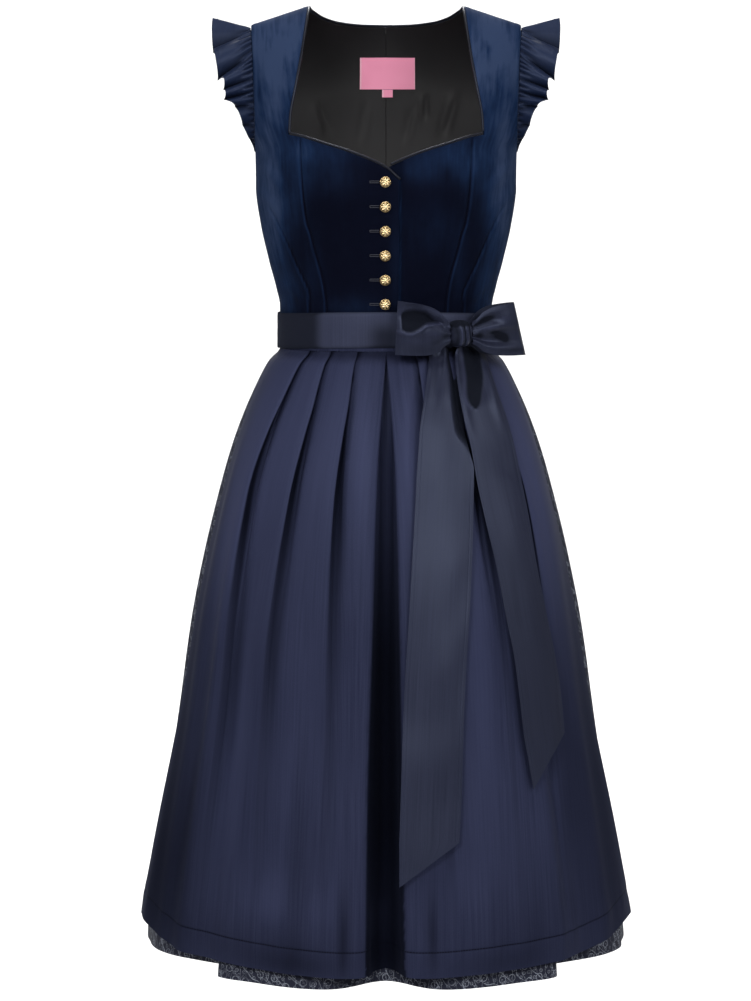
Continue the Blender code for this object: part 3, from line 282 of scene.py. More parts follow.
# The finished back neckline, from the centre back outwards
BACK_NECK = table(
    "x z",
    (0.0000, BACK_NECK_Z),
    (0.0240, -0.0190),
    (0.0510, -0.0161),
    (0.0670, -0.0112),
    (NECK_POINT_X, NECK_POINT_Z),
)

# The side of the front neckline, from its corner up to the neck point
NECK_SIDE = table(
    "z x",
    (NECK_CORNER_Z, NECK_CORNER_X),
    (-0.1250, 0.1010),
    (-0.0907, 0.0951),
    (-0.0509, 0.0882),
    (NECK_POINT_Z, NECK_POINT_X),
)

# The armhole seam, from the armpit up to the shoulder tip
ARMHOLE = table(
    "z x",
    (ARMPIT_Z, 0.1414),
    (-0.1100, 0.1422),
    (-0.0600, 0.1436),
    (-0.0234, SHOULDER_TIP_X),
)

# Apron pleats on each side, from the middle outwards: their angles at the levels just below
APRON_PLEAT_LEVELS = np.array([0.0, 0.08, 0.13, 0.24, 0.50, 1.0])
APRON_PLEAT_ANGLES = (
    (16.0, 15.6, 16.2, 17.2, 16.4, 15.4),
    (31.0, 30.8, 31.6, 33.7, 35.4, 31.9),
    (45.2, 47.6, 49.9, 52.9, 51.4, 48.4),
)
APRON_PLEAT_STRENGTHS = (
    (1.0, 1.0, 1.0, 1.0, 0.8, 0.3),
    (1.0, 1.0, 1.0, 1.05, 0.8, 0.4),
    (1.0, 1.0, 1.05, 1.15, 1.2, 0.4),
)

# Skirt pleats on each side of the back
BACK_PLEATS = table(
    "angle_waist angle_hem strength hem_strength",
    (102.0, 103.0, 1.00, 0.50),
    (118.0, 119.0, 0.90, 0.90),
    (134.0, 134.5, 1.10, 1.10),
    (150.0, 150.0, 0.95, 0.95),
    (166.0, 165.0, 1.05, 1.05),
)

# Levels, as shares of the drop, at which the folds' forms are given
FOLD_LEVELS = np.array([0.0, 0.2, 0.5, 1.0])

# A fold's form: place along the cloth's ring and height off it, in millimetres, at each level
FOLD_COLUMNS = "along_0 off_0 along_1 off_1 along_2 off_2 along_3 off_3"

APRON_FOLD = table(
    FOLD_COLUMNS,
    (-3.0, -2.4, -7.0, -2.5, -18.0, 0.5, -28.0, 1.0),
    (9.0, -2.4, -2.6, -7.0, -11.0, -1.8, -22.0, 0.5),
    (10.2, -1.2, 0.2, -6.5, -6.5, -3.0, -16.0, 0.0),
    (9.0, 0.0, 1.0, -2.6, -3.6, -2.2, -10.0, 0.2),
    (0.0, 0.0, -0.2, 2.4, -2.0, 1.0, -5.0, 0.8),
    (-1.2, 1.2, -0.3, 4.8, 1.5, 4.0, 3.0, 1.8),
    (0.0, 2.4, 2.0, 5.4, 8.0, 4.6, 12.0, 2.2),
    (7.0, 2.4, 16.0, 3.2, 20.0, 3.0, 24.0, 2.0),
)
# The point of that fold which is the pleat's edge
APRON_EDGE = 5

APRON_MIDDLE = table(
    FOLD_COLUMNS,
    (9.0, -2.4, 4.5, -20.0, 5.0, -31.0, 7.0, -37.0),
    (10.2, -1.2, 7.0, -14.0, 8.5, -24.0, 12.0, -29.0),
    (9.0, 0.0, 8.2, -7.0, 11.5, -14.0, 16.0, -17.0),
    (1.4, 0.0, 8.8, -1.0, 13.5, -4.0, 18.5, -6.0),
    (0.2, 1.2, 9.8, 3.6, 16.0, 2.0, 22.0, 0.5),
    (1.4, 2.4, 13.5, 5.0, 22.0, 4.0, 29.0, 2.5),
)
APRON_MIDDLE_DEPTHS = (-2.4, -22.0, -33.0, -40.0)

BACK_FOLD = table(
    FOLD_COLUMNS,
    (-7.0, 2.4, -13.0, 6.0, -16.0, 10.0, -18.0, 13.0),
    (0.0, 2.4, -4.0, 9.0, -8.0, 14.0, -10.0, 17.0),
    (1.2, 1.2, 0.0, 7.5, -1.0, 12.0, -1.0, 14.0),
    (0.0, 0.0, 1.5, 2.0, 3.0, 3.0, 4.0, 4.0),
    (-9.0, 0.0, 1.0, -4.0, 5.0, -6.0, 8.0, -6.0),
    (-10.2, -1.2, 2.0, -9.0, 8.0, -13.0, 13.0, -14.0),
    (-9.0, -2.4, 6.0, -12.0, 14.0, -16.0, 21.0, -18.0),
    (3.0, -2.4, 14.0, -9.0, 24.0, -12.0, 32.0, -12.0),
)

# The skirt's deep side fold in front, which shows at the hem, about its own angle
SIDE_FOLD_ANGLE = 44.0
SIDE_FOLD = table(
    FOLD_COLUMNS,
    (-6.0, -1.5, -8.0, -9.0, -10.0, -2.0, -12.0, 3.0),
    (-2.0, -1.5, -3.0, -9.5, -1.0, -4.0, -1.0, 0.0),
    (2.0, -1.5, 2.0, -10.0, 1.0, -10.0, -2.5, -12.0),
    (6.0, -1.5, 6.0, -10.5, 3.0, -18.0, -6.0, -30.0),
    (10.0, -1.5, 10.0, -11.0, 8.0, -23.0, -4.0, -40.0),
    (14.0, -1.5, 16.0, -11.0, 18.0, -24.0, 8.0, -46.0),
    (20.0, -1.5, 26.0, -10.0, 34.0, -20.0, 30.0, -43.0),
)

# The rest of the skirt's front: angle, and height off the ring in millimetres at each level
FRONT_WAVES = table(
    "angle off_0 off_1 off_2 off_3",
    (0.0, -1.5, -20.0, -30.0, -36.0),
    (4.0, -1.5, -19.5, -28.0, -33.0),
    (8.0, -1.5, -17.0, -21.0, -22.0),
    (12.0, -1.5, -14.0, -12.0, -9.0),
    (17.0, -1.5, -12.0, -6.0, -2.0),
    (24.0, -1.5, -10.0, -4.0, 0.0),
    (33.0, -1.5, -9.0, -4.0, -1.0),
    (61.0, -1.5, -8.0, -12.0, -30.0),
    (70.0, -1.5, -5.0, -5.0, -15.0),
    (78.0, -1.5, -2.5, -2.0, -6.0),
    (84.0, -0.8, 1.0, 2.0, -2.5),
)

# How far the apron's mean face stands off the skirt's ring, in millimetres, at each level
APRON_LIFTS = (1.05, 6.0, 7.5, 7.0)
# How much further its side ends stand off
APRON_END_LIFTS = (0.0, -3.5, -2.0, 3.0)
# Shares of the way from the last pleat to the side end
APRON_END_STEPS = (0.35, 0.7, 1.0)

# A ruffle by share of the seam's length from the armpit in front: width as a share of its full
# width, and how far it turns up or droops as it leaves the seam
RUFFLE_SHAPE = table(
    "share width rise",
    (0.000, 0.02, 0.00),
    (0.050, 0.05, 0.00),
    (0.100, 0.15, 0.00),
    (0.150, 0.31, 0.00),
    (0.208, 0.48, -0.05),
    (0.250, 0.77, -0.25),
    (0.296, 0.80, -0.40),
    (0.340, 0.86, -0.58),
    (0.378, 1.07, -0.70),
    (0.430, 1.05, -0.58),
    (0.475, 1.04, -0.36),
    (0.490, 0.99, -0.12),
    (0.500, 0.95, 0.10),
    (0.512, 0.99, -0.12),
    (0.530, 1.07, -0.34),
    (0.570, 1.04, -0.50),
    (0.620, 1.06, -0.58),
    (0.680, 0.88, -0.50),
    (0.740, 0.72, -0.28),
    (0.800, 0.50, -0.06),
    (0.860, 0.30, 0.00),
    (0.930, 0.10, 0.00),
    (1.000, 0.02, 0.00),
)

# Places along the seam where the ruffle folds back between two lobes
RUFFLE_NOTCHES = (
    (-0.02, 0.09, 0.145, 0.208, 0.250, 0.296, 0.378, 0.475)
    + (0.530, 0.625, 0.700, 0.745, 0.81, 0.88, 1.02)
)

# The tie's loose ends: left edge, line of the fold by the knot, right edge, and height off the ring
TAIL_RIGHT = table(
    "z left fold right off_left off_right",
    (-0.3668, 0.0500, 0.0640, 0.0750, 0.0080, 0.0130),
    (-0.3725, 0.0464, 0.0640, 0.0800, 0.0080, 0.0125),
    (-0.3952, 0.0442, 0.0672, 0.0815, 0.0125, 0.0145),
    (-0.4212, 0.0404, 0.0694, 0.0820, 0.0175, 0.0175),
    (-0.4520, 0.0360, 0.0735, 0.0830, 0.0195, 0.0195),
    (-0.4732, 0.0344, 0.0870, 0.0885, 0.0195, 0.0195),
    (-0.4940, 0.0328, 0.0930, 0.0938, 0.0195, 0.0195),
    (-0.5350, 0.0306, 0.0925, 0.0930, 0.0190, 0.0190),
    (-0.5870, 0.0274, 0.0908, 0.0912, 0.0185, 0.0185),
    (-0.6490, 0.0237, 0.0875, 0.0879, 0.0185, 0.0185),
    (-0.7170, 0.0194, 0.0831, 0.0835, 0.0185, 0.0185),
    (-0.7730, 0.0171, 0.0809, 0.0813, 0.0185, 0.0185),
    (-0.8260, 0.0152, 0.0793, 0.0797, 0.0180, 0.0180),
    (-0.8770, 0.0136, 0.0766, 0.0770, 0.0180, 0.0180),
)
TAIL_LEFT = table(
    "z left fold right off_left off_right",
    (-0.3668, 0.0765, 0.0940, 0.0950, 0.0130, 0.0085),
    (-0.3734, 0.0740, 0.1040, 0.1047, 0.0125, 0.0090),
    (-0.3912, 0.0751, 0.1115, 0.1121, 0.0145, 0.0140),
    (-0.4133, 0.0782, 0.1190, 0.1195, 0.0170, 0.0170),
    (-0.4438, 0.0844, 0.1296, 0.1301, 0.0185, 0.0185),
    (-0.4658, 0.0900, 0.1360, 0.1364, 0.0195, 0.0195),
    (-0.5089, 0.0975, 0.1450, 0.1454, 0.0195, 0.0195),
    (-0.5488, 0.1064, 0.1528, 0.1532, 0.0195, 0.0195),
    (-0.5908, 0.1164, 0.1596, 0.1600, 0.0195, 0.0195),
    (-0.6530, 0.1284, 0.1718, 0.1722, 0.0195, 0.0195),
    (-0.6892, 0.1359, 0.1794, 0.1798, 0.0195, 0.0195),
    (-0.7284, 0.1411, 0.1858, 0.1862, 0.0195, 0.0195),
    (-0.7736, 0.1464, 0.1900, 0.1904, 0.0195, 0.0195),
)
TAILS = {
    "bow_tail_right": {"edges": TAIL_RIGHT, "drop": 0.0440, "shift": 0.0, "seed": 61},
    "bow_tail_left": {"edges": TAIL_LEFT, "drop": 0.0540, "shift": 0.0100, "seed": 64},
}
TAIL_END_MARGIN = 0.0020
TAIL_HEM = 0.055
TAIL_HEM_STEPS = np.array([-0.014, -0.006, 0.0, 0.006, 0.014])

# Bow loops: direction away from the knot, length, lift of the end, start, and slant of the end
LOOPS = {
    "bow_loop_right": {
        "way": (-0.95, -0.31),
        "length": 0.0700,
        "rise": 0.007,
        "start": 0.164,
        "slant": 0.0015,
    },
    "bow_loop_left": {
        "way": (0.86, 0.51),
        "length": 0.0760,
        "rise": 0.004,
        "start": 0.185,
        "slant": 0.0075,
    },
}
LOOP_SHAPE = table(
    "share half_height thickness",
    (0.16, 0.0105, 0.0040),
    (0.25, 0.0145, 0.0065),
    (0.36, 0.0215, 0.0095),
    (0.55, 0.0260, 0.0130),
    (0.75, 0.0275, 0.0145),
    (0.90, 0.0280, 0.0120),
    (1.00, 0.0285, 0.0000),
)

# Folds on a loop's front, in millimetres forward, by share along and place from bottom to top
FOLD_PLACES = np.array([-1.0, -0.7, -0.4, -0.1, 0.2, 0.5, 0.8, 1.0])
LOOP_FOLD_SHARES = np.array([0.16, 0.30, 0.50, 0.75, 1.0])
LOOP_FOLDS = {
    "bow_loop_right": np.array(
        [
            [0.0, 1.6, -1.4, 1.8, -1.6, 1.4, -0.8, 0.4],
            [0.0, 1.5, 1.0, 2.2, 0.5, -2.4, 1.2, 0.5],
            [0.0, 1.5, 2.6, 3.0, 2.2, -4.5, -2.0, 0.0],
            [0.0, 1.0, 2.5, 3.6, 1.6, -5.5, -4.5, -0.5],
            [0.0, 0.3, 0.8, 1.2, -0.5, -1.5, -1.0, 0.0],
        ]
    ),
    "bow_loop_left": np.array(
        [
            [0.0, 1.4, -1.2, 1.6, -1.8, 1.6, -1.0, 0.4],
            [0.0, 2.2, -1.8, 1.8, 2.4, -2.0, 1.4, 0.5],
            [0.0, 1.8, -3.2, -1.0, 3.0, -0.5, 1.0, 0.0],
            [0.0, 1.0, -2.5, -2.5, 1.5, 1.5, 0.6, 0.0],
            [0.0, 0.2, -0.5, -0.6, 0.2, 0.2, 0.0, 0.0],
        ]
    ),
}


# Sums and interpolation
def smooth(places, values, at):
    """Cubic through a table's column without overshoot; places rise or fall steadily."""
    if places[0] > places[-1]:
        places = places[::-1]
        values = values[::-1]
    at = np.clip(np.asarray(at, dtype=float), places[0], places[-1])
    steps = np.diff(places)
    slopes = np.diff(values) / steps
    tangents = np.zeros(len(values))
    tangents[0] = slopes[0]
    tangents[-1] = slopes[-1]
    same_way = slopes[:-1] * slopes[1:] > 0
    sums = slopes[:-1] + slopes[1:]
    means = 2 * slopes[:-1] * slopes[1:] / np.where(sums == 0, 1, sums)
    tangents[1:-1] = np.where(same_way, means, 0.0)
    place = np.clip(np.searchsorted(places, at, side="right") - 1, 0, len(steps) - 1)
    width = steps[place]
    share = (at - places[place]) / width
    rest = 1 - share
    return (
        values[place] * (1 + 2 * share) * rest**2
        + values[place + 1] * share**2 * (3 - 2 * share)
        + tangents[place] * width * share * rest**2
        - tangents[place + 1] * width * share**2 * rest
    )


def column(source, name, at, by="z"):
    """A table's column read at places in another of its columns."""
    return smooth(source[by], source[name], at)


def unit(vectors):
    length = np.linalg.norm(vectors, axis=-1, keepdims=True)
    return vectors / np.where(length == 0, 1, length)


def bump(distance, width):
    return np.exp(-((distance / width) ** 2))


def ease(value):
    value = np.clip(value, 0, 1)
    return value * value * (3 - 2 * value)


def soft_noise(u, v, seed):
    """Smooth noise from -1 to 1, with about one swell for each unit of u and of v."""
    values = np.random.default_rng(seed).uniform(-1, 1, (64, 64))
    u, v = np.broadcast_arrays(np.asarray(u, float), np.asarray(v, float))
    column_at = np.floor(u).astype(int)
    row_at = np.floor(v).astype(int)
    across = ease(u - column_at)
    down = ease(v - row_at)

    def pick(row, col):
        return values[row % 64, col % 64]

    top = pick(row_at, column_at) * (1 - across) + pick(row_at, column_at + 1) * across
    low = pick(row_at + 1, column_at) * (1 - across) + pick(row_at + 1, column_at + 1) * across
    return top * (1 - down) + low * down


def lengths_along(grid, axis):
    """Running length along the rows (axis 1) or down the columns (axis 0) of a grid of points."""
    steps = np.linalg.norm(np.diff(grid, axis=axis), axis=-1)
    running = np.cumsum(steps, axis=axis)
    first = np.zeros_like(np.take(running, [0], axis=axis))
    return np.concatenate([first, running], axis=axis)


def resample(points, count):
    """The line at even steps of its length."""
    length = np.concatenate([[0], np.cumsum(np.linalg.norm(np.diff(points, axis=0), axis=1))])
    places = np.linspace(0, length[-1], count)
    return np.stack([np.interp(places, length, points[:, i]) for i in range(3)], axis=-1)


def calmed(line, rounds):
    """The line with each point drawn towards its neighbours, some times over; its ends stay."""
    for _ in range(rounds):
        line[1:-1] = (line[:-2] + 2 * line[1:-1] + line[2:]) / 4
    return line


def patches(across, up, marks):
    """Soft round patches, each of them: place across and up, reach across and up, and strength."""
    total = np.zeros(np.broadcast(across, up).shape)
    for at_across, at_up, wide, tall, strength in marks:
        total = total + strength * bump(across - at_across, wide) * bump(up - at_up, tall)
    return total


# Materials
PAINT = "paint"
STAGE_FRONT = (0.52, 0.52, 0.52)
STAGE_BACK = (0.93, 0.93, 0.93)
# The velvet's colours from none to full painted sheen; the darkest also shows in the pile's grain
VELVET_DARK = (0.0008, 0.0014, 0.0064)
VELVET_MIDDLE = (0.0070, 0.0190, 0.0560)
VELVET_FULL_SHEEN = (0.0270, 0.0450, 0.0980)
# How dark the satin's painted shade and how light its painted highlight are, as shares of its colours
SATIN_PAINTED_SHADE = 0.20
SATIN_PAINTED_HIGHLIGHT = 2.1
PRINT_DARK = (0.0080, 0.0092, 0.0190)
PRINT_LIGHT = (0.0170, 0.0190, 0.0340)
PRINT_PALE = (0.2300, 0.2500, 0.3000)
# The print's painted shade in its hem's stitched groove and in its folds
PRINT_GROOVE_SHADE = (0.0040, 0.0045, 0.0090)
PRINT_FOLD_SHADE = (0.0025, 0.0029, 0.0060)
LINING_DARK = (0.0030, 0.0026, 0.0034)
LINING_LIGHT = (0.0080, 0.0070, 0.0086)
GOLD_DARK = (0.70, 0.47, 0.20)
GOLD_LIGHT = (0.98, 0.80, 0.50)
GOLD_CREVICE = (0.07, 0.035, 0.008)
LABEL_DARK = (0.88, 0.26, 0.41)
LABEL_LIGHT = (0.98, 0.38, 0.56)
LABEL_BORDER = (0.90, 0.66, 0.70)
LABEL_BORDER_WIDTH = 0.0016
STITCH_PITCH = 0.0030
STITCH_SHARE = 0.72
STITCH_HALF_WIDTH = 0.00042
GROOVE_REACH = (0.0017, 0.0002)


def node(tree, kind, inputs=None, **settings):
    """One shader node; its inputs take a value or another node's output."""
    made = tree.nodes.new("ShaderNode" + kind)
    for key, value in settings.items():
        setattr(made, key, value)
    for key, value in (inputs or {}).items():
        if isinstance(value, bpy.types.NodeSocket):
            tree.links.new(value, made.inputs[key])
        else:
            made.inputs[key].default_value = value
    return made


def math_node(tree, operation, first, second=0.0, third=0.0):
    made = node(tree, "Math", {0: first, 1: second, 2: third}, operation=operation)
    return made.outputs[0]


def mix_colour(tree, factor, first, second):
    """Two colours, or nodes' outputs, mixed: the first at a factor of 0 and the second at 1."""
    made = node(tree, "Mix", {"Factor": factor}, data_type="RGBA")
    for socket, value in ((made.inputs[6], first), (made.inputs[7], second)):
        if isinstance(value, bpy.types.NodeSocket):
            tree.links.new(value, socket)
        else:
            socket.default_value = (*value, 1.0)
    return made.outputs[2]


def times(tree, first, second):
    return math_node(tree, "MULTIPLY", first, second)


def apart(tree, first, second):
    """How far two values are apart."""
    return math_node(tree, "ABSOLUTE", math_node(tree, "SUBTRACT", first, second))


def vector_node(tree, operation, first, second):
    return node(tree, "VectorMath", {0: first, 1: second}, operation=operation).outputs[0]


def dimmed(colour, share):
    return tuple(part * share for part in colour)


def ramp(tree, value, low, high):
    """Value from 0 at low to 1 at high."""
    made = node(tree, "MapRange", {"Value": value, "From Min": low, "From Max": high})
    return made.outputs["Result"]


def noise(tree, vector, scale, detail=3.0, stretch=(1.0, 1.0, 1.0)):
    moved = node(tree, "Mapping", {"Vector": vector, "Scale": stretch})
    made = node(tree, "TexNoise", {"Vector": moved.outputs[0], "Scale": scale, "Detail": detail})
    return made.outputs["Fac"]


def cloth_coordinates(tree):
    """Metres along and down the cloth."""
    return node(tree, "TexCoord").outputs["UV"]


def new_material(name, roughness, **settings):
    material = bpy.data.materials.new(name)
    material.use_nodes = True
    tree = material.node_tree
    shader = tree.nodes["Principled BSDF"]
    shader.inputs["Roughness"].default_value = roughness
    for key, value in settings.items():
        shader.inputs[key.replace("_", " ")].default_value = value
    return material, tree, shader


def add_bump(tree, shader, height, strength, distance):
    made = node(tree, "Bump", {"Height": height, "Strength": strength, "Distance": distance})
    tree.links.new(made.outputs[0], shader.inputs["Normal"])


def painted(tree):
    """The value on the cloth's points: painted sheen on velvet, else painted shade; painted highlights under
    0.
    """
    return node(tree, "Attribute", attribute_name=PAINT, attribute_type="GEOMETRY").outputs["Fac"]


def velvet():
    """Pile velvet, with painted sheen in given patches and fine upright streaks."""
    material, tree, shader = new_material(
        "velvet_painted_sheen",
        0.85,
        Sheen_Weight=0.07,
        Sheen_Roughness=0.25,
        Sheen_Tint=(0.20, 0.38, 0.80, 1.0),
        Specular_IOR_Level=0.05,
    )
    place = cloth_coordinates(tree)
    streaks = noise(tree, place, 1.0, 5.0, (190.0, 24.0, 1.0))
    clouds = noise(tree, place, 1.0, 4.0, (38.0, 26.0, 1.0))
    pile = noise(tree, place, 2600.0, 1.0)
    mottle = math_node(tree, "MULTIPLY_ADD", streaks, 0.55, times(tree, clouds, 0.75))
    uneven = math_node(tree, "MULTIPLY_ADD", ramp(tree, mottle, 0.42, 0.88), 1.25, 0.35)
    # Painted sheen: the paint, made uneven by the streaks and clouds
    painted_sheen = times(tree, painted(tree), uneven)
    low = mix_colour(tree, ramp(tree, painted_sheen, 0.0, 0.5), VELVET_DARK, VELVET_MIDDLE)
    full = mix_colour(tree, ramp(tree, painted_sheen, 0.5, 1.1), low, VELVET_FULL_SHEEN)
    grain = mix_colour(tree, times(tree, pile, 0.35), full, VELVET_DARK)
    tree.links.new(grain, shader.inputs["Base Color"])
    add_bump(tree, shader, pile, 0.5, 0.0002)
    return material


def stitched_hem(tree, place, depth):
    """A line of stitches at a depth above the hem: the threads, and the groove they draw."""
    parts = node(tree, "SeparateXYZ", {0: place}).outputs
    away = apart(tree, parts[1], depth)
    groove = ramp(tree, away, *GROOVE_REACH)
    turn = math_node(tree, "FRACT", math_node(tree, "DIVIDE", parts[0], STITCH_PITCH))
    dash = math_node(tree, "LESS_THAN", turn, STITCH_SHARE)
    threads = times(tree, dash, math_node(tree, "LESS_THAN", away, STITCH_HALF_WIDTH))
    return threads, groove


def satin(name, dark, light, roughness, hem=0.0, gloss=0.26):
    """Satin: fine streaks along its threads, a soft gloss, painted shade where the cloth is hollow, and
    painted highlights.
    """
    material, tree, shader = new_material(
        name,
        roughness,
        Sheen_Weight=0.02,
        Sheen_Roughness=0.4,
        Sheen_Tint=(0.35, 0.42, 0.80, 1.0),
        Specular_IOR_Level=gloss,
        Specular_Tint=(0.60, 0.70, 1.0, 1.0),
        Anisotropic=0.35,
    )
    place = cloth_coordinates(tree)
    cloudy = noise(tree, place, 1.0, 3.0, (9.0, 4.0, 1.0))
    streaks = noise(tree, place, 1.0, 4.0, (620.0, 9.0, 1.0))
    grain = noise(tree, place, 1.0, 2.0, (1500.0, 700.0, 1.0))
    weave = noise(tree, place, 1.0, 1.0, (420.0, 2800.0, 1.0))
    share = math_node(tree, "MULTIPLY_ADD", streaks, 0.45, times(tree, cloudy, 0.35))
    share = math_node(tree, "MULTIPLY_ADD", grain, 0.30, share)
    colour = mix_colour(tree, ramp(tree, share, 0.38, 0.72), dark, light)
    height = math_node(tree, "MULTIPLY_ADD", streaks, 0.8, math_node(tree, "ADD", grain, weave))
    if hem:
        threads, groove = stitched_hem(tree, place, hem)
        # Dark hem threads, and painted shade in the groove they draw
        threads_and_groove_shade = math_node(tree, "MAXIMUM", threads, times(tree, groove, 0.45))
        colour = mix_colour(tree, threads_and_groove_shade, colour, dimmed(dark, 0.12))
        height = math_node(tree, "MULTIPLY_ADD", groove, -2.0, height)
    # The paint above 0 is painted shade and below 0 painted highlight, laid into the colour
    hollow = math_node(tree, "MAXIMUM", painted(tree), 0.0)
    lit = math_node(tree, "MAXIMUM", times(tree, painted(tree), -1.0), 0.0)
    colour = mix_colour(tree, lit, colour, dimmed(light, SATIN_PAINTED_HIGHLIGHT))
    colour = mix_colour(tree, hollow, colour, dimmed(dark, SATIN_PAINTED_SHADE))
    tree.links.new(colour, shader.inputs["Base Color"])
    rough = math_node(tree, "MULTIPLY_ADD", share, 0.16, roughness - 0.08)
    rougher = math_node(tree, "MULTIPLY_ADD", hollow, 0.55, rough)
    tree.links.new(rougher, shader.inputs["Roughness"])
    add_bump(tree, shader, height, 0.22, 0.0002)
    return material


def flower_heads(tree, place, spacing, size, petals):
    """One small flower in each cell: 1 on the outlines of its petals and 0 elsewhere."""
    cells = node(tree, "TexVoronoi", {"Vector": place, "Scale": 1 / spacing, "Randomness": 0.8})
    cells.voronoi_dimensions = "2D"
    scaled = vector_node(tree, "MULTIPLY", place, (1 / spacing, 1 / spacing, 0.0))
    local = vector_node(tree, "SUBTRACT", scaled, cells.outputs["Position"])
    parts = node(tree, "SeparateXYZ", {0: local}).outputs
    angle = math_node(tree, "ARCTAN2", parts[1], parts[0])
    turn = times(tree, angle, petals)
    petal = math_node(tree, "MULTIPLY_ADD", math_node(tree, "COSINE", turn), 0.35, 0.65)
    away = apart(tree, cells.outputs["Distance"], times(tree, petal, size / spacing))
    outline = math_node(tree, "LESS_THAN", away, 0.10 * size / spacing)
    heart = math_node(tree, "LESS_THAN", cells.outputs["Distance"], 0.16 * size / spacing)
    return math_node(tree, "MAXIMUM", outline, heart)


def vines(tree, place, spacing, width):
    """Thin wandering stems."""
    bands = node(
        tree,
        "TexWave",
        {"Vector": place, "Scale": 1 / spacing, "Distortion": 7.0, "Detail": 2.0, "Detail Scale": 0.9},
        bands_direction="DIAGONAL",
    )
    return math_node(tree, "LESS_THAN", apart(tree, bands.outputs["Fac"], 0.5), width)


def print_pattern(tree, place):
    """How pale the print is: flowers, leaves, stems and branches, all worn a little."""
    moved = node(tree, "Mapping", {"Vector": place, "Location": (0.31, 0.17, 0.0), "Rotation": (0, 0, 0.8)})
    shown = flower_heads(tree, place, 0.0150, 0.0036, 5.0)
    leaves = flower_heads(tree, moved.outputs[0], 0.0068, 0.0022, 2.0)
    stems = vines(tree, place, 0.055, 0.045)
    branches = vines(tree, moved.outputs[0], 0.036, 0.035)
    for part in (leaves, stems, branches):
        shown = math_node(tree, "MAXIMUM", shown, part)
    wear = ramp(tree, noise(tree, place, 700.0, 3.0), 0.32, 0.56)
    patchy = ramp(tree, noise(tree, place, 60.0, 2.0), 0.28, 0.52)
    return times(tree, shown, times(tree, wear, patchy))


def print_cotton():
    """Matt dark cotton with a small pale print of flowers, leaves and stems; painted shade in folds and hem
    groove.
    """
    material, tree, shader = new_material(
        "print_cotton_vines", 0.85, Sheen_Weight=0.05, Specular_IOR_Level=0.15
    )
    place = cloth_coordinates(tree)
    ground = mix_colour(tree, noise(tree, place, 1500.0, 1.0), PRINT_DARK, PRINT_LIGHT)
    colour = mix_colour(tree, print_pattern(tree, place), ground, PRINT_PALE)
    threads, groove = stitched_hem(tree, place, SKIRT_HEM_DEPTH)
    # Painted shade in the hem's stitched groove, then painted shade in the skirt's folds
    colour = mix_colour(tree, times(tree, groove, 0.5), colour, PRINT_GROOVE_SHADE)
    colour = mix_colour(tree, times(tree, painted(tree), 0.75), colour, PRINT_FOLD_SHADE)
    tree.links.new(colour, shader.inputs["Base Color"])
    height = math_node(tree, "MULTIPLY_ADD", groove, -4.0, noise(tree, place, 2200.0, 1.0))
    height = math_node(tree, "MULTIPLY_ADD", threads, 3.0, height)
    add_bump(tree, shader, height, 0.2, 0.0002)
    return material


def lining():
    """Plain near-black lining with a dull shine and fine wrinkles."""
    material, tree, shader = new_material("lining_plain", 0.55, Specular_IOR_Level=0.35)
    place = cloth_coordinates(tree)
    cloudy = noise(tree, place, 1.0, 4.0, (30.0, 9.0, 1.0))
    colour = mix_colour(tree, cloudy, LINING_DARK, LINING_LIGHT)
    tree.links.new(colour, shader.inputs["Base Color"])
    weave = noise(tree, place, 1.0, 1.0, (2400.0, 1800.0, 1.0))
    height = math_node(tree, "MULTIPLY_ADD", cloudy, 3.0, weave)
    add_bump(tree, shader, height, 0.25, 0.0004)
    return material


def gold():
    """Old gold, dark in the crevices of its relief."""
    material, tree, shader = new_material("gold_embossed", 0.22, Metallic=1.0)
    grain = noise(tree, node(tree, "TexCoord").outputs["Object"], 900.0, 3.0)
    colour = mix_colour(tree, ramp(tree, grain, 0.3, 0.7), GOLD_DARK, GOLD_LIGHT)
    colour = mix_colour(tree, ramp(tree, painted(tree), 0.05, 0.9), colour, GOLD_CREVICE)
    tree.links.new(colour, shader.inputs["Base Color"])
    tree.links.new(math_node(tree, "MULTIPLY_ADD", grain, 0.25, 0.12), shader.inputs["Roughness"])
    add_bump(tree, shader, grain, 0.15, 0.0002)
    return material


def label_weave():
    """Pink woven label, bare, with a paler border at both ends."""
    material, tree, shader = new_material("label_woven", 0.6, Sheen_Weight=0.2)
    place = cloth_coordinates(tree)
    across = node(tree, "SeparateXYZ", {0: place}).outputs[0]
    away = apart(tree, across, LABEL_WIDTH / 2)
    border = math_node(tree, "GREATER_THAN", away, LABEL_WIDTH / 2 - LABEL_BORDER_WIDTH)
    rows = noise(tree, place, 1.0, 1.0, (700.0, 4200.0, 1.0))
    ground = mix_colour(tree, rows, LABEL_DARK, LABEL_LIGHT)
    colour = mix_colour(tree, times(tree, border, 0.45), ground, LABEL_BORDER)
    tree.links.new(colour, shader.inputs["Base Color"])
    add_bump(tree, shader, rows, 0.4, 0.0002)
    return material


def thread(name, colour):
    """Twisted thread, with painted shade between its strands laid as fine noise."""
    material, tree, shader = new_material(name, 0.5, Sheen_Weight=0.2)
    twist = noise(tree, node(tree, "TexCoord").outputs["Object"], 3000.0, 1.0)
    tree.links.new(mix_colour(tree, twist, dimmed(colour, 0.6), colour), shader.inputs["Base Color"])
    return material


def plain_stage():
    """Paper that is white straight behind the garment and pale grey all round."""
    material, tree, shader = new_material("backdrop_paper", 0.9, Specular_IOR_Level=0.1)
    place = node(tree, "SeparateXYZ", {0: node(tree, "TexCoord").outputs["Object"]}).outputs
    aside = math_node(tree, "ABSOLUTE", place[0])
    behind = times(tree, ramp(tree, place[1], 0.6, 1.6), ramp(tree, aside, 2.0, 1.5))
    colour = mix_colour(tree, behind, STAGE_FRONT, STAGE_BACK)
    tree.links.new(colour, shader.inputs["Base Color"])
    return material


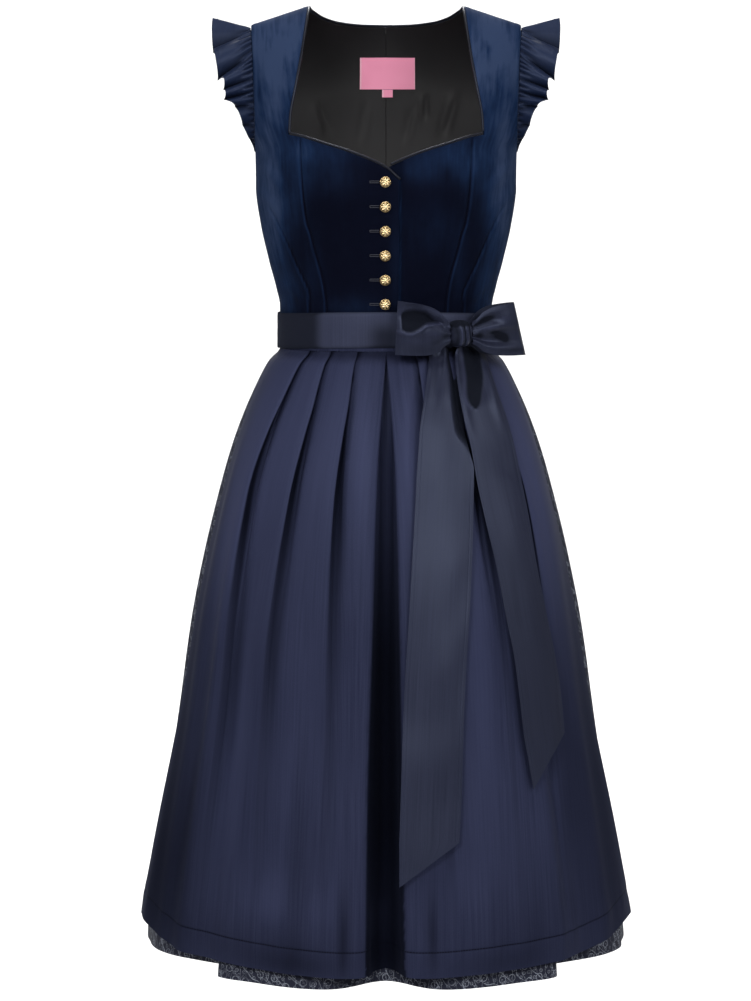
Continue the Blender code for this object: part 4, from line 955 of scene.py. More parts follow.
MATERIALS = {
    "velvet": velvet(),
    "lining": lining(),
    "print": print_cotton(),
    "apron": satin(
        "apron_satin_cloth",
        (0.0130, 0.0155, 0.0350),
        (0.0260, 0.0300, 0.0620),
        0.46,
        hem=APRON_HEM_DEPTH,
        gloss=0.05,
    ),
    "ribbon": satin("ribbon_satin_cloth", (0.0090, 0.0104, 0.0215), (0.0190, 0.0215, 0.0410), 0.38),
    "tie": satin("tie_satin_cloth", (0.0205, 0.0235, 0.0455), (0.0375, 0.0420, 0.0750), 0.38),
    "ruffle": satin("ruffle_satin_cloth", (0.0040, 0.0076, 0.0225), (0.0086, 0.0146, 0.0380), 0.48),
    "piping": satin("piping_satin_cord", (0.0050, 0.0050, 0.0065), (0.0120, 0.0115, 0.0135), 0.38),
    "gold": gold(),
    "label": label_weave(),
    "buttonhole": thread("thread_buttonhole", (0.0085, 0.0110, 0.0260)),
}


# Building meshes
def new_object(name, data):
    """A named object in the scene."""
    made = bpy.data.objects.new(name, data)
    bpy.context.scene.collection.objects.link(made)
    return made


def lay_paint(mesh, values):
    """Puts a value on each point of the mesh, for its material to read."""
    layer = mesh.attributes.new(PAINT, "FLOAT", "POINT")
    layer.data.foreach_set("value", values.astype(np.float32))


def grid_quads(rows, columns, ring=False):
    """Four-sided faces over a grid of points; a ring joins its last column to its first."""
    last = columns if ring else columns - 1
    row, col = np.meshgrid(np.arange(rows - 1), np.arange(last), indexing="ij")
    after = (col + 1) % columns
    low = row * columns
    high = low + columns
    return np.stack([low + col, low + after, high + after, high + col], axis=-1).reshape(-1, 4)


def quad_mesh(name, points, quads, finishes, slots=None, uv=None, paint=None):
    """A mesh object from points and four-sided faces, each face with its own finish's number."""
    mesh = bpy.data.meshes.new(name)
    mesh.from_pydata(points.reshape(-1, 3).tolist(), [], quads.tolist())
    for finish in finishes:
        mesh.materials.append(MATERIALS[finish])
    if slots is not None:
        mesh.polygons.foreach_set("material_index", slots.astype(np.int32))
    if uv is not None:
        layer = mesh.uv_layers.new(name="cloth")
        corners = np.zeros(len(mesh.loops), dtype=np.int32)
        mesh.loops.foreach_get("vertex_index", corners)
        layer.data.foreach_set("uv", uv[corners].astype(np.float32).ravel())
    if paint is not None:
        lay_paint(mesh, np.clip(paint, -1, 1.5).ravel())
    mesh.shade_smooth()
    mesh.set_sharp_from_angle(angle=math.radians(SHARP_DEGREES))
    mesh.update()
    return new_object(name, mesh)


def grid_normals(grid, outward):
    """Unit normals of a grid of points, turned to the side that outward(points) gives."""
    normals = unit(np.cross(np.gradient(grid, axis=1), np.gradient(grid, axis=0)))
    if np.sum(normals * outward(grid)) < 0:
        normals = -normals
    return normals


def from_axis(grid):
    """Directions straight out from the garment's upright axis."""
    return unit(grid * np.array([1.0, 1.0, 0.0]))


def rim_quads(rows, columns, ring):
    """Faces that join the edges of two grids of points, the second numbered after the first."""
    count = rows * columns
    along = np.arange(columns if ring else columns - 1)
    beside = (along + 1) % columns
    low = (rows - 1) * columns
    edges = [
        (along, along + count, beside + count, beside),
        (low + along, low + beside, low + beside + count, low + along + count),
    ]
    if not ring:
        down = np.arange(rows - 1) * columns
        end = down + columns - 1
        edges.append((down, down + columns, down + columns + count, down + count))
        edges.append((end, end + count, end + columns + count, end + columns))
    return np.concatenate([np.stack(edge, axis=-1) for edge in edges])


def shell(name, outer, inner, finish, inside=None, ring=False, uv=None, paint=None):
    """A closed wall between two grids of points; a ring joins its last column to its first."""
    rows, columns = outer.shape[:2]
    front = grid_quads(rows, columns, ring)
    back = front[:, ::-1] + rows * columns
    rim = rim_quads(rows, columns, ring)
    points = np.concatenate([outer.reshape(-1, 3), inner.reshape(-1, 3)])
    quads = np.concatenate([front, back, rim])
    a, b, c, d = (points[front[:, i]] for i in range(4))
    facing = np.cross(c - a, d - b)
    if np.sum(facing * (outer - inner).reshape(-1, 3)[front[:, 0]]) < 0:
        quads = quads[:, ::-1]
    slots = np.concatenate([np.zeros(len(front)), np.ones(len(back)), np.zeros(len(rim))])
    if uv is None:
        uv = np.stack([lengths_along(outer, 1), lengths_along(outer, 0)], axis=-1)
    uv = np.concatenate([uv.reshape(-1, 2)] * 2)
    if paint is not None:
        paint = np.concatenate([paint.ravel()] * 2)
    return quad_mesh(name, points, quads, [finish, inside or finish], slots, uv, paint)


def place_piece(piece, finish, *nodes):
    """Rides the piece on the body and hides the nodes that it stands for; its finish is not used."""
    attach(piece, "root")
    if nodes:
        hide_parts(*nodes)


def cloth(node_name, grid, wall, finish, held, rests_on, outward=from_axis, caught=0.0, **layers):
    """A thin shell about a grid of middle points, in place of its node."""
    normals = grid_normals(grid, outward)
    outer = grid + wall / 2 * normals
    inner = grid - wall / 2 * normals
    piece = shell(node_name + "_cloth", outer, inner, finish, **layers)
    place_piece(piece, finish, node_name)
    declare_sheet(grid, caught)


def declare_sheet(grid, caught=0.0):
    """Works out the cut (widest row by longest column and what is caught) and its area; keeps neither."""
    width = float(lengths_along(grid, 1)[:, -1].max())
    length = float(lengths_along(grid, 0)[-1].max()) + caught
    a, b, c, d = grid[:-1, :-1], grid[:-1, 1:], grid[1:, 1:], grid[1:, :-1]
    area = float(np.linalg.norm(np.cross(c - a, d - b), axis=-1).sum() / 2)
    area = min(max(area, LEAST_AREA_SHARE * width * length), width * length)


# How the painted shade of folds is found: the width of a bin, the distances at which neighbours are
# looked at, how far they may rise, and the slope to them at which that shade begins and is full
BIN = 0.0006
NEIGHBOUR_REACHES = (0.0012, 0.0024, 0.0042, 0.0072, 0.0120, 0.0200, 0.0320)
NEIGHBOUR_RISE = 0.0004
FOLD_SHADE_SLOPE = 0.35
FOLD_SHADE_RANGE = 1.5


def skirt_depth(front, heights):
    """Depth of the skirt's ring before or behind its middle."""
    return np.where(front, column(SKIRT, "front_depth", heights), column(SKIRT, "back_depth", heights))


def painted_fold_shade(grid):
    """Painted shade from the folds beside each point: 0 in the open, 1 deep between two folds."""
    result = np.zeros(grid.shape[:2])
    for row, points in enumerate(grid):
        width = column(SKIRT, "half_width", points[:, 2])
        depth = skirt_depth(points[:, 1] < 0, points[:, 2])
        share = np.hypot(points[:, 0] / width, points[:, 1] / depth)
        middle = float(np.sqrt(width * depth).mean())
        off = (share - 1) * middle
        place = (np.arctan2(points[:, 0] / width, -points[:, 1] / depth) + math.pi) * middle
        bins = (place / BIN).astype(int)
        top = np.full(bins.max() + 2, off.min())
        np.maximum.at(top, bins, off)
        open_sky = np.ones(len(points))
        steepest = [np.zeros(len(points)), np.zeros(len(points))]
        for reach in NEIGHBOUR_REACHES:
            for k, tops in enumerate(window_tops(top, int(reach / BIN))):
                slope = (tops[bins] - off - NEIGHBOUR_RISE) / reach
                steepest[k] = np.maximum(steepest[k], slope)
        for slope in steepest:
            open_sky = open_sky * (1 - ease((slope - FOLD_SHADE_SLOPE) / FOLD_SHADE_RANGE))
        result[row] = 1 - open_sky
    return result


def window_tops(values, steps):
    """The greatest value within some steps before, and after, each place."""
    padded = np.pad(values, steps, mode="edge")
    tops = np.lib.stride_tricks.sliding_window_view(padded, steps + 1).max(axis=1)
    return tops[: len(values)], tops[steps : steps + len(values)]


def cord_mesh(name, path, radius, finish, sides=8):
    """A round cord along a path, with closed ends."""
    along = unit(np.gradient(path, axis=0))
    helper = np.where(np.abs(along[:, 2:3]) > 0.9, [[1.0, 0.0, 0.0]], [[0.0, 0.0, 1.0]])
    side = unit(np.cross(along, helper))
    up = np.cross(side, along)
    turn = np.arange(sides) * 2 * math.pi / sides
    spokes = np.cos(turn)[None, :, None] * side[:, None] + np.sin(turn)[None, :, None] * up[:, None]
    rings = path[:, None] + radius * spokes
    points = np.concatenate([rings.reshape(-1, 3), path[[0, -1]]])
    quads = grid_quads(len(path), sides, ring=True)[:, [0, 3, 2, 1]]
    first = len(path) * sides
    low = first - sides
    ends = []
    for k in range(sides):
        after = (k + 1) % sides
        ends.append([first, k, after])
        ends.append([first + 1, low + after, low + k])
    mesh = bpy.data.meshes.new(name)
    mesh.from_pydata(points.tolist(), [], quads.tolist() + ends)
    mesh.materials.append(MATERIALS[finish])
    mesh.shade_smooth()
    return new_object(name, mesh)


# The bodice's form
def shoulder_height(x):
    return NECK_POINT_Z - SHOULDER_FALL * (np.abs(x) - NECK_POINT_X)


def shoulder_round(depth):
    share = np.clip(depth / SHOULDER_DROP, 0, 1)
    return (1 - (1 - share) ** SHOULDER_POWER) ** (1 / SHOULDER_POWER)


def cup(x, z):
    return CUP_RISE * bump(np.abs(x) - CUP_X, CUP_WIDTH) * bump(z - CUP_Z, CUP_HEIGHT)


def torso(turn, z, front):
    """Points of the bodice's outer face: turn in radians from the centre line, and height."""
    x = column(TORSO, "half_width", z) * np.sin(turn)
    reach = column(TORSO, "front_depth" if front else "back_depth", z)
    y = reach * np.cos(turn) * shoulder_round(shoulder_height(x) - z)
    if front:
        y = -(y + cup(x, z) * np.cos(turn))
    return np.stack([x, y, z * np.ones_like(x)], axis=-1)


def torso_normals(turn, z, front):
    """Outward unit normals of the bodice; along the shoulder seam they have no forward part."""
    step_turn = 0.004
    step_z = 0.0004
    across = torso(turn + step_turn, z, front) - torso(turn - step_turn, z, front)
    up = torso(turn, z + step_z, front) - torso(turn, z - step_z, front)
    normals = unit(np.cross(across, up))
    here = torso(turn, z, front)
    sign = np.sum(normals * from_axis(here), axis=-1, keepdims=True)
    normals = np.where(sign < 0, -normals, normals)
    on_seam = shoulder_height(here[..., 0]) - z < 1.5 * step_z
    tilt = math.atan(SHOULDER_FALL)
    zero = 0 * here[..., 0]
    ridge = np.stack([np.sign(here[..., 0]) * math.sin(tilt), zero, math.cos(tilt) + zero], -1)
    return np.where(on_seam[..., None], ridge, normals)


def turn_at(x, z):
    return np.arcsin(np.clip(x / column(TORSO, "half_width", z), -1, 1))


def climb(shares, corner_z, top_z):
    return np.interp(shares, [0, CORNER_SHARE, 1], [WAIST_SEAM_Z, corner_z, top_z])


def outer_edge(shares):
    """Turn and height of the side seam and the armhole above it."""
    z = climb(shares, ARMPIT_Z, shoulder_height(SHOULDER_TIP_X))
    x = np.interp(z, ARMHOLE["z"], ARMHOLE["x"]) - SEAM_GAP / 2
    seam = math.pi / 2 - SEAM_SLIT / (2 * 0.10)
    return np.where(shares <= CORNER_SHARE, seam, np.minimum(turn_at(x, z), seam)), z


def patch(bottom, top, inner, outer, shares, columns):
    """Turns and heights of a panel from its four edges, each a pair of turn and height arrays."""
    v = np.asarray(shares)[:, None]
    u = np.asarray(columns)[None, :]
    grids = []
    for b, t, i, o in zip(bottom, top, inner, outer):
        blend = (1 - v) * b[None, :] + v * t[None, :] + (1 - u) * i[:, None] + u * o[:, None]
        corners = (1 - u) * (1 - v) * b[0] + u * (1 - v) * b[-1] + (1 - u) * v * t[0] + u * v * t[-1]
        grids.append(blend - corners)
    return grids


def seam_rise():
    return (NECK_SEAM_CUT_Z - WAIST_SEAM_Z) / (NECK_CORNER_CUT_Z - WAIST_SEAM_Z)


def fine_rows(below, above):
    """Shares of the way up: even steps to the neck's corner, then closer ones to the shoulder."""
    corner = CORNER_SHARE * seam_rise()
    lower = np.linspace(0, corner, below)
    upper = 1 - (1 - CORNER_SHARE) * (1 - np.linspace(0, 1, above)) ** 1.6
    return np.concatenate([lower, upper])


def sweetheart_cut(x, distance):
    """Height of a line that lies a distance below the finished sweetheart neckline."""
    step = 0.001
    low, here, high = (column(SWEETHEART, "z", x + move, "x") for move in (-step, 0.0, step))
    slope = (high - low) / (2 * step)
    return here - distance * np.sqrt(1 + slope**2)


def front_grid(start_x):
    """Turns and heights of a centre front, from its closing edge to the princess seam."""
    shares = np.linspace(0, 1, FRONT_ROWS)
    u = np.linspace(0, 1, FRONT_COLUMNS)
    top_x = start_x + (NECK_SEAM_X - SEAM_SLIT / 2 - start_x) * u
    bottom_x = start_x + (PRINCESS["x"][0] - SEAM_SLIT / 2 - start_x) * u
    top_z = sweetheart_cut(top_x, NECK_ALLOWANCE)
    top_z[-1] = NECK_SEAM_CUT_Z
    bottom_z = np.full(FRONT_COLUMNS, WAIST_SEAM_Z)
    inner_z = WAIST_SEAM_Z + (top_z[0] - WAIST_SEAM_Z) * shares
    outer_z = WAIST_SEAM_Z + (top_z[-1] - WAIST_SEAM_Z) * shares
    outer_x = column(PRINCESS, "x", outer_z) - SEAM_SLIT / 2
    return patch(
        (turn_at(bottom_x, bottom_z), bottom_z),
        (turn_at(top_x, top_z), top_z),
        (turn_at(np.full(FRONT_ROWS, start_x), inner_z), inner_z),
        (turn_at(outer_x, outer_z), outer_z),
        shares,
        u,
    )


def side_front_grid(shares, columns):
    """Turns and heights of the side front and its strap, from the princess seam to the armhole."""
    u = np.linspace(0, 1, columns)
    inner_z = climb(shares, NECK_CORNER_CUT_Z, shoulder_height(NECK_POINT_X + NECK_ALLOWANCE))
    below = inner_z < NECK_SEAM_CUT_Z + 1e-6
    seam_x = column(PRINCESS, "x", inner_z) + SEAM_SLIT / 2
    neck_x = column(NECK_SIDE, "x", inner_z) + NECK_ALLOWANCE
    inner_x = np.where(below, seam_x, neck_x)
    top_x = np.linspace(inner_x[-1], SHOULDER_TIP_X - SEAM_GAP / 2, columns)
    top_z = shoulder_height(top_x)
    bottom_z = np.full(columns, WAIST_SEAM_Z)
    outer_turn, outer_z = outer_edge(shares)
    inner_turn = turn_at(inner_x, inner_z)
    top_turn = turn_at(top_x, top_z)
    bottom_turn = inner_turn[0] + (outer_turn[0] - inner_turn[0]) * u
    top_turn[-1] = outer_turn[-1]
    edges = ((bottom_turn, bottom_z), (top_turn, top_z), (inner_turn, inner_z), (outer_turn, outer_z))
    return patch(*edges, shares, u)


def back_grid(shares):
    """Turns and heights of a back half, from the centre back to the side seam and armhole."""
    columns_to_neck, columns_to_tip = BACK_COLUMNS
    neck_x = NECK_POINT_X + NECK_ALLOWANCE
    tip_turn = outer_edge(np.array([1.0]))[0][0]
    neck_share = float(turn_at(neck_x, shoulder_height(neck_x)) / tip_turn)
    to_neck = np.linspace(0, neck_share, columns_to_neck)
    u = np.concatenate([to_neck, np.linspace(neck_share, 1, columns_to_tip)[1:]])
    centre_turn = SEAM_SLIT / (2 * TORSO["half_width"].max())
    top_x = TORSO["half_width"][-1] * np.sin(u * tip_turn)
    neck_z = smooth(BACK_NECK["x"] * neck_x / NECK_POINT_X, BACK_NECK["z"], top_x) - NECK_ALLOWANCE
    seam_z = shoulder_height(top_x)
    blend = np.clip((neck_x - top_x) / NECK_POINT_BLEND, 0, 1)
    neck_z = blend * neck_z + (1 - blend) * np.minimum(neck_z, seam_z)
    top_z = np.where(top_x < neck_x - 1e-6, neck_z, seam_z)
    top_turn = np.maximum(turn_at(top_x, top_z), centre_turn)
    outer_turn, outer_z = outer_edge(shares)
    top_turn[-1] = outer_turn[-1]
    top_z[-1] = outer_z[-1]
    inner_z = climb(shares, ARMPIT_Z, top_z[0])
    inner_turn = np.full(len(shares), centre_turn)
    bottom_turn = centre_turn + (outer_turn[0] - centre_turn) * u
    bottom_z = np.full(len(u), WAIST_SEAM_Z)
    edges = ((bottom_turn, bottom_z), (top_turn, top_z), (inner_turn, inner_z), (outer_turn, outer_z))
    return patch(*edges, shares, u)


# The bodice's surface
def line_distance(x, z, line):
    """Distance in the front view from a table's line of points, and whether z is beside it."""
    at = column(line, "x", z)
    step = 0.002
    slope = (column(line, "x", z + step) - column(line, "x", z - step)) / (2 * step)
    beside = ease((z - line["z"].min()) / 0.006) * ease((line["z"].max() - z) / 0.006)
    return (np.abs(x) - at) / np.sqrt(1 + slope**2), beside


# Creases on the bodice: ends as x and z, height in millimetres, and width
FRONT_CREASES = (
    ((0.134, -0.170), (0.108, -0.205), 0.9, 0.0045),
    ((0.140, -0.195), (0.120, -0.222), 0.7, 0.0050),
    ((0.088, -0.322), (0.106, -0.300), 0.7, 0.0040),
    ((0.112, -0.330), (0.098, -0.312), 0.6, 0.0045),
    ((0.070, -0.328), (0.040, -0.322), 0.5, 0.0050),
    ((0.020, -0.318), (0.052, -0.314), 0.4, 0.0060),
    ((0.109, -0.140), (0.130, -0.120), 0.6, 0.0060),
    ((0.095, -0.160), (0.094, -0.200), 0.5, 0.0040),
    ((0.128, -0.060), (0.133, -0.110), 0.5, 0.0070),
)
BACK_CREASES = (
    ((0.020, -0.320), (0.075, -0.312), 0.8, 0.0050),
    ((0.095, -0.300), (0.045, -0.288), 0.6, 0.0060),
    ((0.110, -0.200), (0.070, -0.170), 0.6, 0.0070),
    ((0.030, -0.060), (0.090, -0.075), 0.5, 0.0080),
)


# The lining's wrinkles on each side, beside its seam and under the label
LINING_CREASES = {
    1: (
        ((0.045, -0.095), (0.045, -0.125), 0.9, 0.0030),
        ((0.081, -0.095), (0.066, -0.145), 1.1, 0.0045),
        ((0.020, -0.150), (0.028, -0.110), 0.6, 0.0035),
    ),
    -1: (
        ((-0.030, -0.150), (-0.024, -0.105), 0.7, 0.0035),
        ((-0.075, -0.105), (-0.062, -0.140), 0.8, 0.0045),
    ),
}


def creases(x, z, ends, both=True):
    """Soft ridges between given ends, each fading towards them."""
    total = np.zeros_like(x)
    place = np.abs(x) if both else x
    for (x0, z0), (x1, z1), height, width in ends:
        way = np.array([x1 - x0, z1 - z0])
        length = np.hypot(*way)
        along = ((place - x0) * way[0] + (z - z0) * way[1]) / length**2
        aside = ((place - x0) * way[1] - (z - z0) * way[0]) / length
        fade = np.exp(-(((along - 0.5) / 0.42) ** 4))
        total = total + height * 0.001 * fade * (bump(aside, width) - 0.8 * bump(aside - 1.8 * width, width))
    return total


def bodice_relief(x, z, front, seam_distance):
    """How far the velvet stands off its form: seams drawn in, the dart, and soft wrinkles."""
    relief = -0.0009 * bump(seam_distance, 0.0016) + 0.00025 * bump(seam_distance - 0.0040, 0.0022)
    if front:
        away, beside = line_distance(x, z, DART)
        stitched = -0.0009 * bump(away, 0.0013) + 0.0003 * bump(np.abs(away) - 0.0035, 0.0020)
        relief = relief + beside * stitched
        relief = relief + creases(x, z, FRONT_CREASES)
    else:
        relief = relief + creases(x, z, BACK_CREASES)
    swell = soft_noise(x / 0.022 + 9, z / 0.030, 3 if front else 4)
    return relief + 0.00025 * swell


# Patches of painted sheen on the velvet: x, z, reach along x, reach along z, strength; "both" repeats at -x
PAINTED_SHEEN_BOTH = (
    (0.1150, -0.0450, 0.0400, 0.0700, 1.25),
    (0.1280, -0.1500, 0.0200, 0.0450, 0.60),
    (0.1280, -0.2050, 0.0180, 0.0400, 0.70),
    (0.1210, -0.2600, 0.0130, 0.0450, 0.55),
    (0.1060, -0.3150, 0.0120, 0.0300, 0.38),
    (0.0700, -0.1600, 0.0350, 0.0120, 0.24),
    (0.0920, -0.1800, 0.0120, 0.0300, 0.20),
    (0.0780, -0.2850, 0.0100, 0.0350, 0.09),
)
PAINTED_SHEEN_FRONT = (
    (-0.0830, -0.1560, 0.0180, 0.0140, 0.18),
    (-0.0600, -0.1850, 0.0250, 0.0180, 0.14),
    (0.0380, -0.1780, 0.0200, 0.0140, 0.20),
    (0.0800, -0.1720, 0.0250, 0.0180, 0.24),
    (-0.1050, -0.2250, 0.0150, 0.0250, 0.20),
    (0.0500, -0.2400, 0.0300, 0.0250, 0.10),
    (-0.0300, -0.3250, 0.0300, 0.0120, 0.12),
    (0.0100, -0.2800, 0.0060, 0.0500, 0.08),
)
PAINTED_SHEEN_BACK = (
    (0.0450, -0.0500, 0.0450, 0.0400, 0.45),
    (-0.0500, -0.0700, 0.0400, 0.0400, 0.35),
    (0.0300, -0.2200, 0.0300, 0.0600, 0.12),
    (-0.0700, -0.2600, 0.0250, 0.0500, 0.16),
)
PAINTED_SHEEN_FLOOR = 0.01
NAP_RADIUS = 0.14
NAP_SHIFT = 0.37
# Painted highlights beside the seams' lines, and on the lap's edge from a height downwards
SEAM_LIGHTS = ((PRINCESS, 0.22), (DART, 0.20))
LAP_LIGHT = 0.30
LAP_LIGHT_TOP_Z = -0.184


def velvet_painted_sheen(x, z, front):
    """Painted sheen on the velvet at each point: patches, and painted highlights by the seams and the lap.
    """
    light = PAINTED_SHEEN_FLOOR + patches(np.abs(x), z, PAINTED_SHEEN_BOTH) + patches(x, z, PAINTED_SHEEN_FRONT if front else PAINTED_SHEEN_BACK)
    if front:
        for line, strength in SEAM_LIGHTS:
            away, beside = line_distance(x, z, line)
            # A painted highlight beside each seam's line, and painted shade in its groove
            light = light + strength * beside * (bump(away - 0.0016, 0.0011) - 1.2 * bump(away, 0.0007))
        light = light + LAP_LIGHT * bump(x - LAP_X - 0.0010, 0.0009) * ease((LAP_LIGHT_TOP_Z - z) / 0.006)
    return light


def panel(name, grid, front, side, near, finish):
    """One panel of the bodice, its outer face near under the form, in place of its node."""
    turns, heights = grid
    face = torso(turns, heights, front)
    normals = torso_normals(turns, heights, front)
    across = lengths_along(face, 1)
    seam = np.minimum(across, across[:, -1:] - across)
    if finish == "velvet":
        wall = VELVET_WALL
        lift = bodice_relief(face[..., 0], heights, front, seam) - near
        paint = velvet_painted_sheen(face[..., 0] * side, heights, front)
    else:
        wall = LINING_WALL
        lift = creases(face[..., 0] * side, heights, LINING_CREASES[side], both=False) - near
        paint = None
    outer = face + lift[..., None] * normals
    inner = outer - wall * normals
    limit = SEAM_SLIT / 2
    for points in (outer, inner):
        points[..., 1] = np.minimum(points[..., 1], -limit) if front else np.maximum(points[..., 1], limit)
    mirror = np.array([side, 1.0, 1.0])
    uv = np.stack([turns * NAP_RADIUS + NAP_SHIFT * side, heights], axis=-1)
    piece = shell(name + "_cloth", outer * mirror, inner * mirror, finish, "lining", uv=uv, paint=paint)
    place_piece(piece, finish, name)
    declare_sheet(face)


def side_name(side):
    return "left" if side > 0 else "right"


def make_bodice():
    for side, start_x in ((-1, -LAP_X), (1, -UNDERLAP_X)):
        grid = front_grid(start_x)
        near = 0.0
        if side > 0:
            x = torso(*grid, True)[..., 0]
            near = (BODICE_WALL + LAP_GAP) * ease((LAP_X + LAP_BLEND - x) / LAP_BLEND)
        panel(f"bodice_front_{side_name(side)}", grid, True, side, near, "velvet")
    rows = fine_rows(*PANEL_ROWS)
    grid = side_front_grid(rows, SIDE_FRONT_COLUMNS)
    for side in (-1, 1):
        panel(f"bodice_side_front_{side_name(side)}", grid, True, side, 0.0, "velvet")
    grid = back_grid(rows)
    for side in (-1, 1):
        back = f"bodice_back_{side_name(side)}"
        panel(back, grid, False, side, 0.0, "velvet")
        near = BODICE_WALL + SEAM_GAP
        panel(f"back_lining_{side_name(side)}", grid, False, side, near, "lining")


def make_lining_seam():
    """The lining's centre-back seam: its edges stand up a little, from the waist to the neck."""
    z = np.linspace(WAIST_SEAM_Z + 0.004, BACK_NECK_Z - 0.006, LINING_SEAM_STEPS)
    turn = np.zeros(len(z))
    near = BODICE_WALL + SEAM_GAP + LINING_WALL + 0.0002
    points = torso(turn, z, False) - near * torso_normals(turn, z, False)
    points[:, 0] = 0.00025 * soft_noise(z / 0.02, 0.4, 15)
    place_piece(cord_mesh("back_lining_seam", points, LINING_SEAM_RADIUS, "lining"), "lining")


# The neckline's piping
def piping_line(turn, height, front):
    """The piping's middle line beside a panel's cut edge, towards the neck's opening."""
    points = torso(turn, height, front)
    normals = torso_normals(turn, height, front)
    along = unit(np.gradient(points, axis=0))
    aside = unit(np.cross(normals, along))
    inwards = np.sum(aside * (np.array(NECK_MIDDLE) - points), axis=-1, keepdims=True)
    sign = np.where(inwards < 0, -1.0, 1.0)
    line = points + sign * aside * (PIPING_RADIUS + SEAM_GAP) - BODICE_WALL / 2 * normals
    line[-1, 1] = 0.0
    return line


def make_piping():
    """Satin piping all round the neckline."""
    shares = fine_rows(*PANEL_ROWS)
    side_turns, side_heights = side_front_grid(shares, 3)
    first = np.argmax(side_heights[:, 0] > NECK_CORNER_CUT_Z - 1e-6)
    fronts = []
    for side, start_x in ((-1, -LAP_X), (1, LAP_X - PIPING_UNDERLAP)):
        x = np.linspace(start_x, NECK_CORNER_X + NECK_ALLOWANCE - NECK_STEP_BACK, NECK_STEPS)
        z = sweetheart_cut(x, NECK_ALLOWANCE)
        turn = np.concatenate([turn_at(x, z), side_turns[first:, 0]])
        height = np.concatenate([z, side_heights[first:, 0]])
        fronts.append(piping_line(turn, height, True) * np.array([side, 1, 1]))
    turns, heights = back_grid(shares)
    turn = turns[-1, : BACK_COLUMNS[0]].copy()
    turn[0] = 0.0
    half = piping_line(turn, heights[-1, : BACK_COLUMNS[0]], False)
    other = half[::-1] * np.array([-1, 1, 1])
    path = np.concatenate([fronts[0][:-1], other, half[1:], fronts[1][::-1][1:]])
    path = calmed(resample(path, PIPING_STEPS), 3)
    piece = cord_mesh("neckline_piping_cord", path, PIPING_RADIUS, "piping")
    place_piece(piece, "piping", "neckline_piping")


# Sleeves
def armhole_line():
    """The armhole seam on the wearer's left: points, from the armpit in front over to the back."""
    shares = np.linspace(CORNER_SHARE, 1, ARMHOLE_STEPS)
    turn, z = outer_edge(shares)
    front = torso(turn, z, True) - BODICE_WALL / 2 * torso_normals(turn, z, True)
    back = torso(turn, z, False) - BODICE_WALL / 2 * torso_normals(turn, z, False)
    front[-1, 1] = 0.0
    return np.concatenate([front, back[::-1][1:]])


def ruffle_grid():
    """A gathered strip along the armhole, with gathers at the seam and lobes at the edge, and its painted
    shades.
    """
    base = resample(calmed(armhole_line(), 6), RUFFLE_COLUMNS)
    share = np.linspace(0, 1, RUFFLE_COLUMNS)
    along = unit(np.gradient(base, axis=0))
    width = RUFFLE_WIDTH * column(RUFFLE_SHAPE, "width", share, "share")
    rise = column(RUFFLE_SHAPE, "rise", share, "share")
    flat = np.stack([1.0 + 0 * share, -RUFFLE_SPREAD * np.cos(share * math.pi), 0 * share], axis=-1)
    flat = unit(flat - np.sum(flat * along, axis=-1, keepdims=True) * along * 0.6)
    across = unit(np.cross(along, flat))
    away = unit(flat + rise[:, None] * np.array([0.0, 0.0, 1.0]))
    number = np.interp(share, RUFFLE_NOTCHES, np.arange(len(RUFFLE_NOTCHES)))
    lobe = np.abs(np.sin(math.pi * number))
    narrow = (width / RUFFLE_WIDTH) ** 0.8
    gathers = np.sin(2 * math.pi * RUFFLE_GATHERS * share + 2.5 * soft_noise(share * 22, 0.7, 23))
    grid = []
    paint = []
    for part in np.linspace(0, 1, RUFFLE_ROWS):
        reach = RUFFLE_START + width * part * (1 + RUFFLE_SCALLOP * (lobe - 0.6) * part)
        swing = -RUFFLE_DEPTH * narrow * part**0.8 * (1.9 * lobe**0.7 - 1.1)
        at_seam = np.exp(-(((part - 0.10) / 0.26) ** 2))
        small = 0.0012 * gathers * narrow**0.5 * at_seam
        hem = -0.0004 * bump(part - 0.88, 0.02)
        grid.append(base + reach[:, None] * away + (swing + small + hem)[:, None] * across)
        # Painted shade where the lobes fold back and in the gathers at the seam, and a faint painted
        # highlight on the lobes
        painted_notch_shade = 0.75 * bump(lobe, 0.40) * ease((part - 0.10) / 0.35)
        paint.append(painted_notch_shade + 0.60 * at_seam * ease(gathers) - 0.08 * lobe * ease(part / 0.5))
    return np.array(grid), np.array(paint)


def make_ruffles():
    grid, paint = ruffle_grid()
    for side in (-1, 1):
        mirror = np.array([side, 1, 1])
        cloth(
            f"sleeve_ruffle_{side_name(side)}",
            grid * mirror,
            SATIN_WALL,
            "ruffle",
            "gathered",
            [f"bodice_side_front_{side_name(side)}_cloth"],
            outward=lambda g: unit(RUFFLE_INSIDE * mirror - g),
            paint=paint,
        )


# Skirt and apron
def ring_points(angles, heights, off):
    """Points on the skirt's ring: angle in degrees from the front, height, and distance off it."""
    turn = np.radians(angles)
    width = column(SKIRT, "half_width", heights)
    depth = skirt_depth(np.cos(turn) >= 0, heights)
    normal = unit(np.stack([np.sin(turn) / width, -np.cos(turn) / depth, 0 * turn], axis=-1))
    place = np.stack([width * np.sin(turn), -depth * np.cos(turn), heights + 0 * turn], axis=-1)
    return place + np.asarray(off)[..., None] * normal


def degrees_along(angle, height, distance):
    """The turn, in degrees, that a distance along the ring makes at an angle and height."""
    turn = np.radians(angle)
    width = column(SKIRT, "half_width", height)
    depth = column(SKIRT, "front_depth" if angle <= 90 else "back_depth", height)
    return np.degrees(distance / np.hypot(width * np.cos(turn), depth * np.sin(turn)))


def at_level(values, share):
    return float(smooth(FOLD_LEVELS, np.array(values, dtype=float), share))


